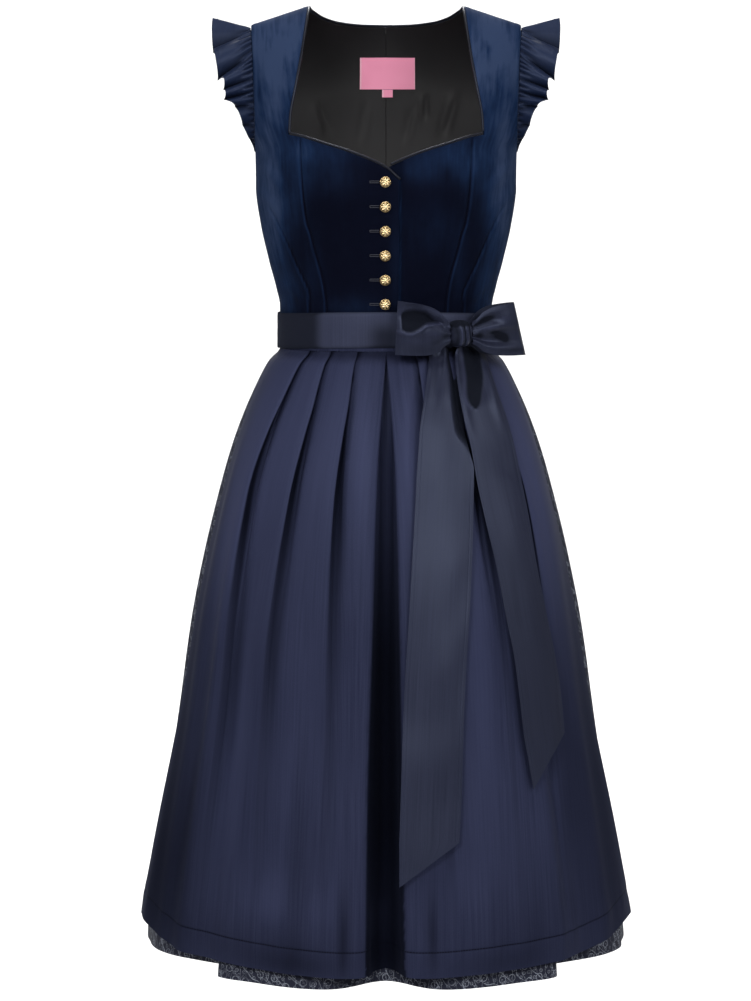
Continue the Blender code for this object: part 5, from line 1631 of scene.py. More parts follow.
def fold_size(form, name, i, share):
    """One size of a fold's form, in metres, at a share of the drop."""
    return at_level([form[f"{name}_{k}"][i] for k in range(4)], share) * 0.001


def fold_points(form, angle, height, share, strength, lift):
    """Control points of one fold as pairs of angle and height off the ring."""
    points = []
    for i in range(len(form["along_0"])):
        turn = degrees_along(angle, height, fold_size(form, "along", i, share))
        points.append((angle + turn, fold_size(form, "off", i, share) * strength + lift))
    return points


def pleat_level(values, share):
    return float(smooth(APRON_PLEAT_LEVELS, np.array(values), share))


def apron_side(share, height):
    """Control points of the apron's section on one side, from the middle outwards."""
    lift = at_level(APRON_LIFTS, share) * 0.001
    points = [(0.0, at_level(APRON_MIDDLE_DEPTHS, share) * 0.001 + lift)]
    points += fold_points(APRON_MIDDLE, 0.0, height, share, 1.0, lift)
    for angles, strengths in zip(APRON_PLEAT_ANGLES, APRON_PLEAT_STRENGTHS):
        angle = pleat_level(angles, share)
        points += fold_points(APRON_FOLD, angle, height, share, pleat_level(strengths, share), lift)
    end = APRON_REACH_WAIST + (APRON_REACH_HEM - APRON_REACH_WAIST) * share
    start_angle, start_off = points[-1]
    end_off = lift + at_level(APRON_END_LIFTS, share) * 0.001
    for part in APRON_END_STEPS:
        points.append((start_angle + (end - start_angle) * part, start_off + (end_off - start_off) * part))
    return points


def below_band(share):
    """The share of the drop from where the skirt leaves the waist's bands."""
    return max(0.0, (share - SKIRT_HELD_SHARE) / (1 - SKIRT_HELD_SHARE))


def side_off(share):
    """How far the skirt stands off its ring at the side seam."""
    return SKIRT_STACK + at_level(SKIRT_SIDE_LIFTS, share) * 0.001


def skirt_front_side(share, height):
    """Control points of the skirt's front on one side, from the middle to the side seam."""
    share = below_band(share)
    waves = []
    for i, angle in enumerate(FRONT_WAVES["angle"]):
        waves.append((angle, fold_size(FRONT_WAVES, "off", i, share) + SKIRT_STACK))
    points = [wave for wave in waves if wave[0] < SIDE_FOLD_ANGLE]
    points += fold_points(SIDE_FOLD, SIDE_FOLD_ANGLE, height, share, 1.0, SKIRT_STACK)
    points += [wave for wave in waves if wave[0] > SIDE_FOLD_ANGLE]
    points.append((90.0 - degrees_along(90.0, height, SEAM_GAP / 2), side_off(share)))
    return points


def skirt_back_side(share, height):
    """Control points of the skirt's back on one side, from the side seam to the centre back."""
    share = below_band(share)
    points = [(90.0 + degrees_along(90.0, height, SEAM_GAP / 2), side_off(share))]
    for angle_waist, angle_hem, low, hem in zip(*BACK_PLEATS.values()):
        angle = angle_waist + (angle_hem - angle_waist) * share
        low = low + (hem - low) * float(ease((share - 0.5) / 0.4))
        strength = 1 + (low - 1) * min(1.0, share / FOLD_LEVELS[1])
        points += fold_points(BACK_FOLD, angle, height, share, strength, SKIRT_STACK)
    return points


def mirrored(points, centre):
    """Both sides' control points, from one side's; centre is the shared angle, if it has one."""
    other = [(2 * centre - angle, off) for angle, off in points]
    if abs(points[0][0] - centre) < 1e-6:
        return other[::-1] + points[1:]
    return points + other[::-1]


def apron_hem(angles):
    side = np.sin(np.radians(np.minimum(np.abs(angles), 90))) ** 2
    middle = bump(angles, HEM_MIDDLE_WIDTH)
    past = (np.abs(angles) - APRON_CORNER_START) / (APRON_REACH_HEM - APRON_CORNER_START)
    end = APRON_CORNER_LIFT * ease(past)
    return APRON_HEM_FRONT_Z + (APRON_HEM_SIDE_Z - APRON_HEM_FRONT_Z) * side + APRON_HEM_LIFT * middle + end


def skirt_hem(angles):
    side = np.sin(np.radians(angles)) ** 2
    middle = bump(angles, HEM_MIDDLE_WIDTH)
    return SKIRT_HEM_FRONT_Z + (SKIRT_HEM_SIDE_Z - SKIRT_HEM_FRONT_Z) * side + SKIRT_HEM_LIFT * middle


def section_rows(rows, section, centre, top_z, hem_z, uneven=None):
    """Control points of a folded cloth: rows down the drop, columns across its folds."""
    controls = []
    for share in down_steps(rows):
        guess = top_z + (hem_z(np.array([0.0]))[0] - top_z) * share
        angles, off = np.array(mirrored(section(share, guess), centre)).T
        if uneven:
            angles, off = uneven(angles, off, share)
        heights = top_z + (hem_z(angles) - top_z) * share
        controls.append(ring_points(angles, heights, off))
    return np.array(controls)


def rounded(points, spacing):
    """Smooth rows through control points; each stretch's tangents keep to its own length."""
    gaps = np.diff(points, axis=1)
    lengths = np.linalg.norm(gaps, axis=-1, keepdims=True)
    way = gaps / np.maximum(lengths, 1e-9)
    tangents = np.concatenate([way[:, :1], unit(way[:, 1:] + way[:, :-1]), way[:, -1:]], axis=1)
    pieces = []
    for i in range(points.shape[1] - 1):
        count = int(np.clip(round(float(lengths[:, i].mean()) / spacing), *FOLD_STEPS))
        t = (np.arange(count) / count)[None, :, None]
        start, end = points[:, i, None], points[:, i + 1, None]
        pull = lengths[:, i, None]
        pieces.append(
            start * (1 + 2 * t) * (1 - t) ** 2
            + end * t**2 * (3 - 2 * t)
            + tangents[:, i, None] * pull * t * (1 - t) ** 2
            - tangents[:, i + 1, None] * pull * t**2 * (1 - t)
        )
    return np.concatenate([*pieces, points[:, -1:]], axis=1)


def down_steps(count):
    """Shares of the drop, closer near the waist and in the hem."""
    steps = np.linspace(0, 1, count) ** 1.35
    fine = np.linspace(1 - FINE_HEM_SHARE, 1, FINE_HEM_ROWS)
    return np.concatenate([steps[steps < fine[0] - 0.004], fine])


def hem_relief(from_hem, across, depth, seed):
    """A turned hem: its stitches draw in and pucker the cloth a little."""
    stitches = -0.0003 * bump(from_hem - depth, 0.0014)
    pucker = 0.00035 * np.sin(across / 0.0035 + 5 * soft_noise(across / 0.05, 0.3, seed))
    pucker = pucker + 0.0004 * np.sin(across / 0.012 + 4 * soft_noise(across / 0.09, 0.7, seed + 1))
    return stitches + pucker * bump(from_hem - depth * 0.85, depth * 0.40)


def pucker_relief(across, down, pitch, height, reach, seed):
    """Small gathers under a band that die out downwards."""
    wander = 2.2 * soft_noise(across / (3 * pitch), down / 0.04, seed)
    return height * np.sin(2 * math.pi * across / pitch + wander) * np.exp(-down / reach)


def draped(grid, relief):
    """The grid moved along its normals by a relief in metres."""
    return grid + relief[..., None] * grid_normals(grid, from_axis)


def cloth_places(grid):
    """Metres across at the hem, down from the top, and up from the hem, for each point."""
    across = np.broadcast_to(lengths_along(grid, 1)[-1:], grid.shape[:2])
    down = lengths_along(grid, 0)
    return across, down, down[-1:] - down


# The skirt's halves: section of one side, angle of its middle, rows, and seed of its unevenness
SKIRT_HALVES = {
    "skirt_front": (skirt_front_side, 0.0, SKIRT_FRONT_ROWS, 31),
    "skirt_back": (skirt_back_side, 180.0, SKIRT_BACK_ROWS, 32),
}


def make_skirt():
    for node_name, (section, centre, rows, seed) in SKIRT_HALVES.items():
        grid = rounded(section_rows(rows, section, centre, SKIRT_TOP_Z, skirt_hem), SKIRT_SPACING)
        across, down, from_hem = cloth_places(grid)
        relief = hem_relief(from_hem, across, SKIRT_HEM_DEPTH, seed)
        fall = ease((down - 0.06) / 0.25)
        relief = relief + 0.0022 * fall * soft_noise(across / 0.075, down / 0.42 + 0.3, seed + 1)
        relief = relief * ease(np.minimum(across, across[:, -1:] - across) / SIDE_SEAM_CALM)
        uv = np.stack([across, from_hem], axis=-1)
        points = draped(grid, relief)
        held_by = ["waist_tie_cloth"]
        # The skirt's paint is painted shade in its folds
        cloth(node_name, points, COTTON_WALL, "print", "gathered", held_by, uv=uv, paint=painted_fold_shade(grid))


def apron_uneven(angles, off, share):
    """Small differences between the apron's pleats, which grow downwards."""
    shift = 0.9 * share * soft_noise(angles / 14.0 + 3, share * 1.6, 41)
    swell = 0.0022 * ease(share * 2) * soft_noise(angles / 11.0, share * 2.0 + 5, 42)
    return angles + shift, off + swell


# Broad ridges low on the apron: angle, share of the drop at its middle, width, reach and height
APRON_RIDGES = (
    (-58.0, 0.80, 3.4, 0.34, 0.0065),
    (-50.0, 0.74, 3.6, 0.36, -0.0040),
    (-27.0, 0.82, 4.2, 0.40, 0.0030),
    (27.0, 0.84, 4.0, 0.36, 0.0030),
    (48.0, 0.80, 3.6, 0.36, 0.0060),
    (57.0, 0.78, 4.0, 0.34, -0.0040),
    (66.0, 0.84, 3.4, 0.30, 0.0035),
    (-68.0, 0.84, 3.4, 0.30, 0.0030),
)


# Painted shades and highlights on the apron's satin: angle, share of the drop, reaches, and strength
APRON_SHADES = (
    (-40.0, 0.14, 16.0, 0.20, -0.28),
    (-64.0, 0.20, 14.0, 0.24, -0.35),
    (-22.0, 0.14, 7.0, 0.16, -0.20),
    (-10.5, 0.18, 5.0, 0.14, -0.35),
    (10.5, 0.18, 5.0, 0.14, -0.35),
    (20.0, 0.18, 12.0, 0.20, -0.25),
    (50.0, 0.20, 20.0, 0.22, -0.40),
    (70.0, 0.24, 12.0, 0.26, -0.40),
    (-48.0, 0.68, 4.0, 0.20, -0.30),
    (-28.0, 0.70, 6.0, 0.20, -0.15),
    (-33.0, 0.90, 9.0, 0.06, -0.22),
    (-19.0, 0.90, 5.0, 0.08, -0.22),
    (27.0, 0.90, 12.0, 0.08, -0.25),
    (30.0, 0.55, 6.0, 0.25, -0.25),
    (-52.5, 0.52, 2.6, 0.13, 0.45),
    (-38.0, 0.50, 2.4, 0.12, 0.35),
    (-76.0, 0.75, 11.0, 0.40, 0.65),
    (-61.0, 0.78, 5.0, 0.16, 0.40),
    (-25.5, 0.80, 2.2, 0.20, 0.25),
    (76.0, 0.75, 12.0, 0.40, 0.65),
    (60.0, 0.72, 6.0, 0.18, 0.35),
    (-24.0, 0.985, 12.0, 0.02, 0.25),
    (30.0, 0.985, 12.0, 0.02, 0.20),
    (-11.5, 0.93, 1.6, 0.06, 0.55),
    (12.5, 0.93, 1.6, 0.06, 0.45),
    (-30.0, 0.004, 60.0, 0.012, 0.45),
    (30.0, 0.004, 60.0, 0.012, 0.45),
    (36.0, 0.95, 22.0, 0.10, 0.40),
    (-66.0, 0.92, 16.0, 0.16, 0.35),
    (-22.5, 0.86, 4.5, 0.10, 0.22),
    (-31.0, 0.97, 26.0, 0.045, 0.40),
    (19.0, 0.62, 5.0, 0.20, -0.18),
    (-62.0, 0.34, 7.0, 0.12, -0.20),
)


# The middle pleat's recess ends at this angle; beyond it the painted shade of the folds shows less
RECESS_REACH = 13.0
APRON_FOLD_SHADE_SHARE = 0.30

# The shadow beside each pleat's edge, by level: its width in millimetres, and its strength
SHADOW_LEVELS = (0.0, 0.10, 0.15, 0.22, 0.28, 0.36, 0.45, 0.55, 1.0)
SHADOW_WIDTHS = (
    (1.2, 1.6, 7.0, 12.0, 16.0, 18.0, 20.0, 20.0, 16.0),
    (1.2, 1.6, 5.0, 10.0, 13.0, 16.0, 18.0, 18.0, 16.0),
    (1.2, 1.6, 4.0, 8.0, 11.0, 14.0, 14.0, 12.0, 10.0),
)
SHADOW_STRENGTHS = (
    (1.0, 1.0, 1.0, 0.95, 0.80, 0.60, 0.45, 0.3, 0.0),
    (1.0, 1.0, 1.0, 1.00, 0.85, 0.60, 0.45, 0.3, 0.0),
    (1.0, 1.0, 1.0, 1.00, 1.00, 0.70, 0.45, 0.3, 0.0),
)
# How wide the shadows are on each side, as shares of those widths
SHADOW_SIDES = {-1: (1.0, 1.0, 1.0), 1: (1.0, 0.6, 0.3)}
SHADOW_LEAST_WIDTH = 0.0010
SHADOW_EDGE_BLUR = 0.0008
SHADOW_CORE = 0.4
# How far a shadow hides the lights and shades that lie on it
SHADOW_HIDES = 0.8


def pleat_shadows(grid, controls, levels):
    """Painted shadow beside the pleats' edges, where the apron stands open under them."""
    total = np.zeros(grid.shape[:2])
    centre = controls.shape[1] // 2
    first = 1 + len(APRON_MIDDLE["along_0"])
    for side, narrowing in SHADOW_SIDES.items():
        for k in range(len(APRON_PLEAT_ANGLES)):
            start = first + k * len(APRON_FOLD["along_0"])
            edge = side * controls[:, centre + side * (start + APRON_EDGE), 0]
            inside = edge[:, None] - side * grid[..., 0]
            width = 0.001 * narrowing[k] * np.interp(levels, SHADOW_LEVELS, SHADOW_WIDTHS[k])[:, None]
            width = np.maximum(width, SHADOW_LEAST_WIDTH)
            strength = np.interp(levels, SHADOW_LEVELS, SHADOW_STRENGTHS[k])[:, None]
            fade = 1 - ease((inside - SHADOW_CORE * width) / ((1 - SHADOW_CORE) * width))
            total = total + strength * ease(inside / SHADOW_EDGE_BLUR + 0.3) * fade
    return total


def recess_light(angles, shares):
    """How much painted shade the middle pleat's recess keeps: little at its top, where it is shallow and
    lit, all from half way down.
    """
    shown = 1 - ease((shares - 0.07) / 0.46)
    low = 0.16 * ease((shares - 0.75) / 0.2)
    return 1 - np.maximum(shown, low) * ease((RECESS_REACH - np.abs(angles)) / 3.0)


def make_apron():
    controls = section_rows(APRON_ROWS, apron_side, 0.0, APRON_TOP_Z, apron_hem, apron_uneven)
    grid = rounded(controls, APRON_SPACING)
    across, down, from_hem = cloth_places(grid)
    angles = np.degrees(np.arctan2(grid[..., 0], -grid[..., 1]))
    shares = down / down[-1:]
    relief = hem_relief(from_hem, across, APRON_HEM_DEPTH, 43)
    relief = relief + patches(angles, shares, APRON_RIDGES)
    relief = relief + pucker_relief(across, down, 0.017, 0.0005, 0.012, 44)
    relief = relief + 0.0008 * ease(down / 0.2) * soft_noise(across / 0.035, down / 0.16, 45)
    uv = np.stack([across, from_hem], axis=-1)
    # The apron's paint: painted shade in its folds and middle recess, painted shadows beside the pleats'
    # edges, and the listed painted shades and highlights
    shown = np.where(np.abs(angles) > RECESS_REACH, APRON_FOLD_SHADE_SHARE, 1.0)
    shadows = pleat_shadows(grid, controls, down_steps(APRON_ROWS))
    deep = np.maximum(painted_fold_shade(grid) * shown, shadows) * recess_light(angles, shares)
    deep = deep + patches(angles, shares, APRON_SHADES) * (1 - SHADOW_HIDES * np.minimum(shadows, 1))
    points = draped(grid, relief)
    held_by = ["apron_waistband_cloth"]
    cloth("apron", points, SATIN_WALL, "apron", "gathered", held_by, uv=uv, paint=deep)


# The waist's bands
def band_grid(angles, top_z, bottom_z, side_drop, off, rows, relief):
    """Middle points of an upright band round the waist."""
    drop = side_drop * np.sin(np.radians(angles)) ** 2
    levels = np.linspace(0, 1, rows)
    grid = []
    for level in levels:
        z = top_z + (bottom_z - top_z) * level - drop
        grid.append(ring_points(angles, z, off + relief(angles, level)))
    return np.array(grid)


def tie_relief(angles, level):
    """Long flat wrinkles round the tie, deeper towards the bow, and turned edges."""
    near_bow = 0.35 + 0.65 * bump(angles - 38.0, 26.0)
    first = soft_noise(angles / 26.0, level * 3.2, 51)
    second = soft_noise(angles / 11.0 + 4, level * 5.0, 52)
    edge = bump(level, 0.05) + bump(level - 1, 0.05)
    return near_bow * (0.0007 * first + 0.0003 * second) - 0.0003 * edge


def tie_painted_shade(angles, level):
    """The tie's gloss lies on the front; painted shade darkens it towards its left end and beside the bow.
    """
    left = ease((-angles - 33.0) / 9.0)
    beside = 0.75 * bump(angles + 1.0, 9.0) * ease((level - 0.05) / 0.6)
    right = ease((angles - 55.0) / 18.0)
    edge = 0.6 * bump(level, 0.04) + 0.5 * bump(level - 1, 0.05)
    return np.clip(0.85 * np.maximum(left, right) + beside + edge + 0.10, 0, 1)


def make_bands():
    angles = np.linspace(-WAISTBAND_REACH, WAISTBAND_REACH, WAISTBAND_COLUMNS)
    sizes = (WAISTBAND_TOP_Z, WAISTBAND_BOTTOM_Z, 0.0, WAISTBAND_MIDDLE, WAISTBAND_ROWS)
    grid = band_grid(angles, *sizes, lambda places, level: 0 * places)
    cloth("apron_waistband", grid, BAND_WALL, "apron", "stretched", ["wearer"])
    angles = np.linspace(-180, 180, TIE_COLUMNS + 1)[:-1]
    sizes = (TIE_TOP_Z, TIE_BOTTOM_Z, TIE_SIDE_DROP, TIE_MIDDLE, TIE_ROWS)
    grid = band_grid(angles, *sizes, tie_relief)
    paint = tie_painted_shade(angles[None, :], np.linspace(0, 1, len(grid))[:, None])
    held_by = ["apron_waistband_cloth"]
    cloth("waist_tie", grid, BAND_WALL, "tie", "stretched", held_by, ring=True, paint=paint)


# The bow
def tail_row(x, z, off):
    """Points at given places across, lying their distances off the skirt's ring."""
    width = column(SKIRT, "half_width", z)
    angle = np.degrees(np.arcsin(np.clip(x / (width + off), -0.98, 0.98)))
    return ring_points(angle, z, off)


def right_tail_folds(across, fold, z):
    """The right tail's part beyond its fold line lies back in shadow, down to where it opens."""
    behind = ease((across - fold) / 0.10) * ease((z + 0.4850) / 0.030)
    gather = 0.0012 * np.sin(across * 15.0) * ease((z + 0.44) / 0.06)
    sag = 0.0018 * np.sin(math.pi * across) * ease((-z - 0.45) / 0.1)
    return -0.0085 * behind + gather - sag * 0.5


def left_tail_folds(across, _fold, z):
    """The left tail is hollow under the knot, like a scoop that closes lower down."""
    depth = 0.0085 * ease((z + 0.4300) / 0.035) * (1 - 0.65 * ease((z + 0.3870) / 0.010))
    hollow = bump(across - 0.42, 0.30)
    rims = 0.0022 * (bump(across - 0.08, 0.10) + bump(across - 0.88, 0.14)) * ease((z + 0.47) / 0.05)
    gather = 0.0010 * np.sin(across * 19.0) * ease((z + 0.40) / 0.04)
    return rims + gather - depth * hollow


TAIL_FOLDS = {"bow_tail_right": right_tail_folds, "bow_tail_left": left_tail_folds}


def right_tail_painted_shade(across, fold, z):
    """Painted shade where the right tail lies back beside the left one, and under the knot."""
    behind = ease((across - fold + 0.02) / 0.07) * ease((z + 0.4900) / 0.030)
    under_knot = bump(across - 0.75, 0.35) * ease((z + 0.392) / 0.03)
    return np.clip(0.95 * behind + 0.6 * under_knot, 0, 1)


# The left tail's hollow under the knot, in painted shade: level, its middle and half its width across the
# tail
TAIL_HOLLOW = table(
    "z middle half",
    (-0.4325, 0.33, -0.06),
    (-0.4300, 0.33, 0.04),
    (-0.4260, 0.34, 0.12),
    (-0.4180, 0.37, 0.18),
    (-0.3960, 0.50, 0.24),
    (-0.3720, 0.54, 0.28),
)


def left_tail_painted_light(across, _fold, z):
    """Painted shade in the left tail's hollow and by its right edge, a painted highlight on its left rim;
    darker lower down.
    """
    middle = column(TAIL_HOLLOW, "middle", z)
    half = column(TAIL_HOLLOW, "half", z)
    hollow = ease((half - np.abs(across - middle)) / 0.12 + 0.5) * ease((z + 0.4340) / 0.0040)
    rim = bump(across - middle + half + 0.06, 0.06) * ease((z + 0.436) / 0.01)
    beyond = bump(across - 0.92, 0.12) * ease((z + 0.40) / 0.03)
    return 1.2 * hollow - 0.5 * rim + 0.3 * beyond + 0.22 * ease((-0.52 - z) / 0.12)


TAIL_PAINTED_LIGHT = {"bow_tail_right": right_tail_painted_shade, "bow_tail_left": left_tail_painted_light}


def tail_edges(edges, z):
    return [column(edges, name, z) for name in ("left", "fold", "right", "off_left", "off_right")]


def tail_grid(node_name):
    """Middle points of a tail down to its slanting end, and their painted shades and highlights."""
    tail = TAILS[node_name]
    edges = tail["edges"]
    u = np.linspace(0, 1, TAIL_COLUMNS)
    u = np.sort(np.concatenate([u, TAIL_HEM + TAIL_HEM_STEPS, 1 - TAIL_HEM + TAIL_HEM_STEPS]))
    grid = []
    paint = []
    last_z = edges["z"][-1]
    for z in np.linspace(edges["z"][0], last_z, TAIL_ROWS):
        left, fold, right, off_left, off_right = tail_edges(edges, z)
        x = left + (right - left) * u
        fold_share = (fold - left) / (right - left)
        off = off_left + (off_right - off_left) * u
        off = off + TAIL_FOLDS[node_name](u, fold_share, z) + tail_waves(u, z, tail["seed"])
        grid.append(tail_row(x, np.full(len(u), z), off))
        paint.append(TAIL_PAINTED_LIGHT[node_name](u, fold_share, z))
    folds = TAIL_FOLDS[node_name](u, fold_share, last_z)
    for part in np.linspace(0, 1, TAIL_END_ROWS + 1)[1:]:
        x = left + (right - left) * u + tail["shift"] * part * (1 - u)
        z = last_z - (TAIL_END_MARGIN + tail["drop"] * (1 - u)) * part
        grid.append(tail_row(x, z, off_right + folds + tail_waves(u, z, tail["seed"])))
        paint.append(paint[-1])
    return np.array(grid), np.array(paint)


def tail_waves(u, z, seed):
    """Slow swells down a tail, and narrow turned hems along both its edges."""
    fall = ease((-z - 0.42) / 0.12)
    swell = 0.0016 * soft_noise(u * 1.6, z / 0.12, seed)
    swell = swell + 0.0007 * soft_noise(u * 3.0, z / 0.05, seed + 1)
    hems = -0.00012 * (bump(u - TAIL_HEM, 0.008) + bump(u - 1 + TAIL_HEM, 0.008))
    return fall * (swell + 0 * u) + hems


# Painted shades and highlights on the front of each loop: share along, place up, reaches, and strength
LOOP_SHADES = {
    "bow_loop_right": (
        (0.24, -0.25, 0.07, 0.30, 0.70),
        (0.40, -0.50, 0.10, 0.14, 0.45),
        (0.46, -0.10, 0.16, 0.14, -0.25),
        (0.75, -0.42, 0.22, 0.14, -0.18),
        (0.96, 0.30, 0.03, 0.60, -0.25),
        (0.60, -0.80, 0.30, 0.16, 0.25),
        (0.45, 0.90, 0.24, 0.08, -0.30),
    ),
    "bow_loop_left": (
        (0.62, -0.20, 0.10, 0.14, 1.80),
        (0.69, -0.36, 0.06, 0.13, 1.40),
        (0.52, -0.05, 0.08, 0.07, 1.20),
        (0.36, 0.58, 0.15, 0.13, 2.30),
        (0.28, -0.20, 0.06, 0.22, 1.00),
        (0.66, 0.45, 0.22, 0.14, -0.30),
        (0.42, 0.16, 0.18, 0.07, -0.45),
        (0.42, -0.42, 0.16, 0.08, -0.35),
        (0.82, -0.78, 0.20, 0.08, 0.60),
        (0.90, 0.10, 0.10, 0.50, 0.20),
    ),
}

# The right loop's open mouth: its front layer's rim and the top of the dark, by share along
LOOP_MOUTH = table(
    "share rim top",
    (0.16, 0.90, 1.00),
    (0.36, 0.42, 0.58),
    (0.57, 0.24, 0.84),
    (0.70, 0.00, 0.84),
    (0.84, -0.16, 0.78),
    (1.00, -0.05, 0.60),
)


def loop_mouth(node_name, shares, up):
    """How far each point lies in the loop's dark mouth, and how near it is to the mouth's lit rim."""
    if node_name != "bow_loop_right":
        return 0.0, 0.0
    rim = column(LOOP_MOUTH, "rim", shares, "share")
    top = column(LOOP_MOUTH, "top", shares, "share")
    inside = ease((up - rim) / 0.10) * ease((top - up) / 0.22)
    inside = inside * ease((shares - 0.26) / 0.12) * ease((0.965 - shares) / 0.05)
    return inside, bump(up - rim + 0.06, 0.05) * ease((shares - 0.22) / 0.10)


def loop_painted_light(node_name, shares, up, columns):
    """Painted shade between a loop's folds and in its mouth, with highlights, on its front layer, first in
    its grid.
    """
    # The back layer is painted half in shade
    paint = np.full((len(up), columns), 0.5)
    front = patches(shares[None, :], up[:, None], LOOP_SHADES[node_name])
    inside, rim = loop_mouth(node_name, shares[None, :], up[:, None])
    paint[:, : len(shares)] = front + 0.12 + 1.15 * inside - 0.45 * rim
    return paint


def loop_shares(loop):
    """Shares of a loop's length, closer towards its end."""
    shares = np.linspace(0, 1, LOOP_STEPS)
    return loop["start"] + (1 - loop["start"]) * (1 - (1 - shares) ** 1.6)


def loop_grid(node_name, shares, up):
    """A hollow bow loop: out along its front layer, round its end and back behind."""
    loop = LOOPS[node_name]
    way = unit(np.array([*loop["way"], 0.0]))
    behind = np.array([-way[1], way[0], 0.0])
    if behind[1] < 0:
        behind = -behind
    half = column(LOOP_SHAPE, "half_height", shares, "share")
    end = np.sqrt(np.clip(1 - np.clip((shares - 0.93) / 0.07, 0, 1) ** 2, 0, 1))
    thick = (column(LOOP_SHAPE, "thickness", shares, "share") / 2 + 0.0014) * end
    by_share = np.array([smooth(FOLD_PLACES, row, up) for row in LOOP_FOLDS[node_name]])
    steps = range(len(shares))
    columns = []
    for sign, shown, order in ((-1, 1.0, steps), (1, 0.35, reversed(steps[:-1]))):
        for i in order:
            forward = np.array([smooth(LOOP_FOLD_SHARES, row, shares[i]) for row in by_share.T]) * 0.001
            inside, rim = loop_mouth(node_name, shares[i], up)
            forward = (forward - 0.004 * inside + 0.0010 * rim) * shown * end[i]
            centre = KNOT_CENTRE + way * loop["length"] * shares[i]
            centre = centre + np.array([0, -LOOPS_FORWARD, loop["rise"] * shares[i]])
            slant = loop["slant"] * shares[i] ** 2
            face = centre + behind * sign * thick[i]
            points = face + up[:, None] * (np.array([0, 0, half[i]]) - way * slant)
            columns.append(points - behind * forward[:, None])
    return np.transpose(np.array(columns), (1, 0, 2))


def make_loops():
    up = np.linspace(1, -1, LOOP_ROWS)
    for node_name, loop in LOOPS.items():
        shares = loop_shares(loop)
        grid = loop_grid(node_name, shares, up)
        middle = grid.mean(axis=(0, 1))
        paint = loop_painted_light(node_name, shares, up, grid.shape[1])
        cloth(
            node_name,
            grid,
            SATIN_WALL,
            "ribbon",
            "folded",
            ["bow_knot_cloth"],
            outward=lambda g: g - middle,
            paint=paint,
        )


def knot_points():
    """The knot's outer face and its painted shades: a rounded block with upright folds of wound ribbon."""
    turn = math.atan2(KNOT_CENTRE[0], -KNOT_CENTRE[1])
    lat = np.linspace(-math.pi / 2, math.pi / 2, KNOT_ROWS)[:, None]
    lon = np.linspace(0, 2 * math.pi, KNOT_COLUMNS, endpoint=False)[None, :]
    raw = np.stack([np.cos(lat) * np.cos(lon), np.cos(lat) * np.sin(lon), np.sin(lat) + 0 * lon], axis=-1)
    x, y, z = np.moveaxis(np.sign(raw) * np.abs(raw) ** 0.78, -1, 0)
    wind = 5.2 * x + 0.9 * z + 0.5 * z * x
    broad = np.sin(wind * 1.9)
    fine = np.sin(wind * 4.3 + 0.6)
    folds = 1 + 0.070 * broad + 0.035 * fine
    local_x = x * KNOT_SIZE[0] / 2 * (1 + 0.10 * np.abs(z))
    local_y = y * KNOT_SIZE[1] / 2 * np.where(y < 0, folds, 1.0) * 0.97
    points = np.stack(
        [
            local_x * math.cos(turn) - local_y * math.sin(turn),
            local_x * math.sin(turn) + local_y * math.cos(turn),
            z * KNOT_SIZE[2] / 2,
        ],
        axis=-1,
    )
    # Painted shade in the folds' grooves and over the knot's top, and painted highlights on the crests below
    # it
    grooves = bump(broad + 1.0, 0.55) + 0.6 * bump(fine + 1.0, 0.5)
    crests = bump(broad - 1.0, 0.35)
    top = ease((z - 0.42) / 0.30)
    return points + KNOT_CENTRE, 0.10 + 0.75 * grooves + 1.1 * top - 0.45 * crests * (1 - top)


def closed_ball(name, grid, finish, paint):
    """A closed surface from rows of rings whose first and last rows are points."""
    rows, columns = grid.shape[:2]
    points = np.concatenate([grid[:1, 0], grid[1:-1].reshape(-1, 3), grid[-1:, 0]])
    faces = []
    last = len(points) - 1
    for k in range(columns):
        after = (k + 1) % columns
        faces.append((0, 1 + after, 1 + k))
        for row in range(rows - 3):
            low = 1 + row * columns
            faces.append((low + k, low + after, low + columns + after, low + columns + k))
        low = 1 + (rows - 3) * columns
        faces.append((low + k, low + after, last))
    mesh = bpy.data.meshes.new(name)
    mesh.from_pydata(points.tolist(), [], faces)
    mesh.materials.append(MATERIALS[finish])
    layer = mesh.uv_layers.new(name="cloth")
    for loop in mesh.loops:
        point = points[loop.vertex_index]
        layer.data[loop.index].uv = (point[0] - point[1], point[2])
    lay_paint(mesh, np.concatenate([paint[:1, 0], paint[1:-1].ravel(), paint[-1:, 0]]))
    mesh.shade_smooth()
    return new_object(name, mesh)


def make_bow():
    points, paint = knot_points()
    piece = closed_ball("bow_knot_cloth", points, "ribbon", np.clip(paint, -1, 1.2))
    place_piece(piece, "ribbon", "bow_knot")
    make_loops()
    for node_name in TAILS:
        grid, paint = tail_grid(node_name)
        cloth(node_name, grid, SATIN_WALL, "ribbon", "hung", ["bow_knot_cloth"], paint=paint)


# Buttons, buttonholes and label
def button_relief(turn, r):
    """How far the rosette and the beads stand off the dome, on a ring of the button."""
    petals = np.cos(8 * turn) * bump(r - 0.62, 0.16) + 0.7 * np.cos(5 * turn + 0.4) * bump(r - 0.30, 0.10)
    beads = 0.6 * np.cos(22 * turn) * bump(r - 0.92, 0.05)
    return 0.00042 * (petals + beads - 0.9 * bump(r - 0.82, 0.05) + 0.8 * bump(r, 0.10))


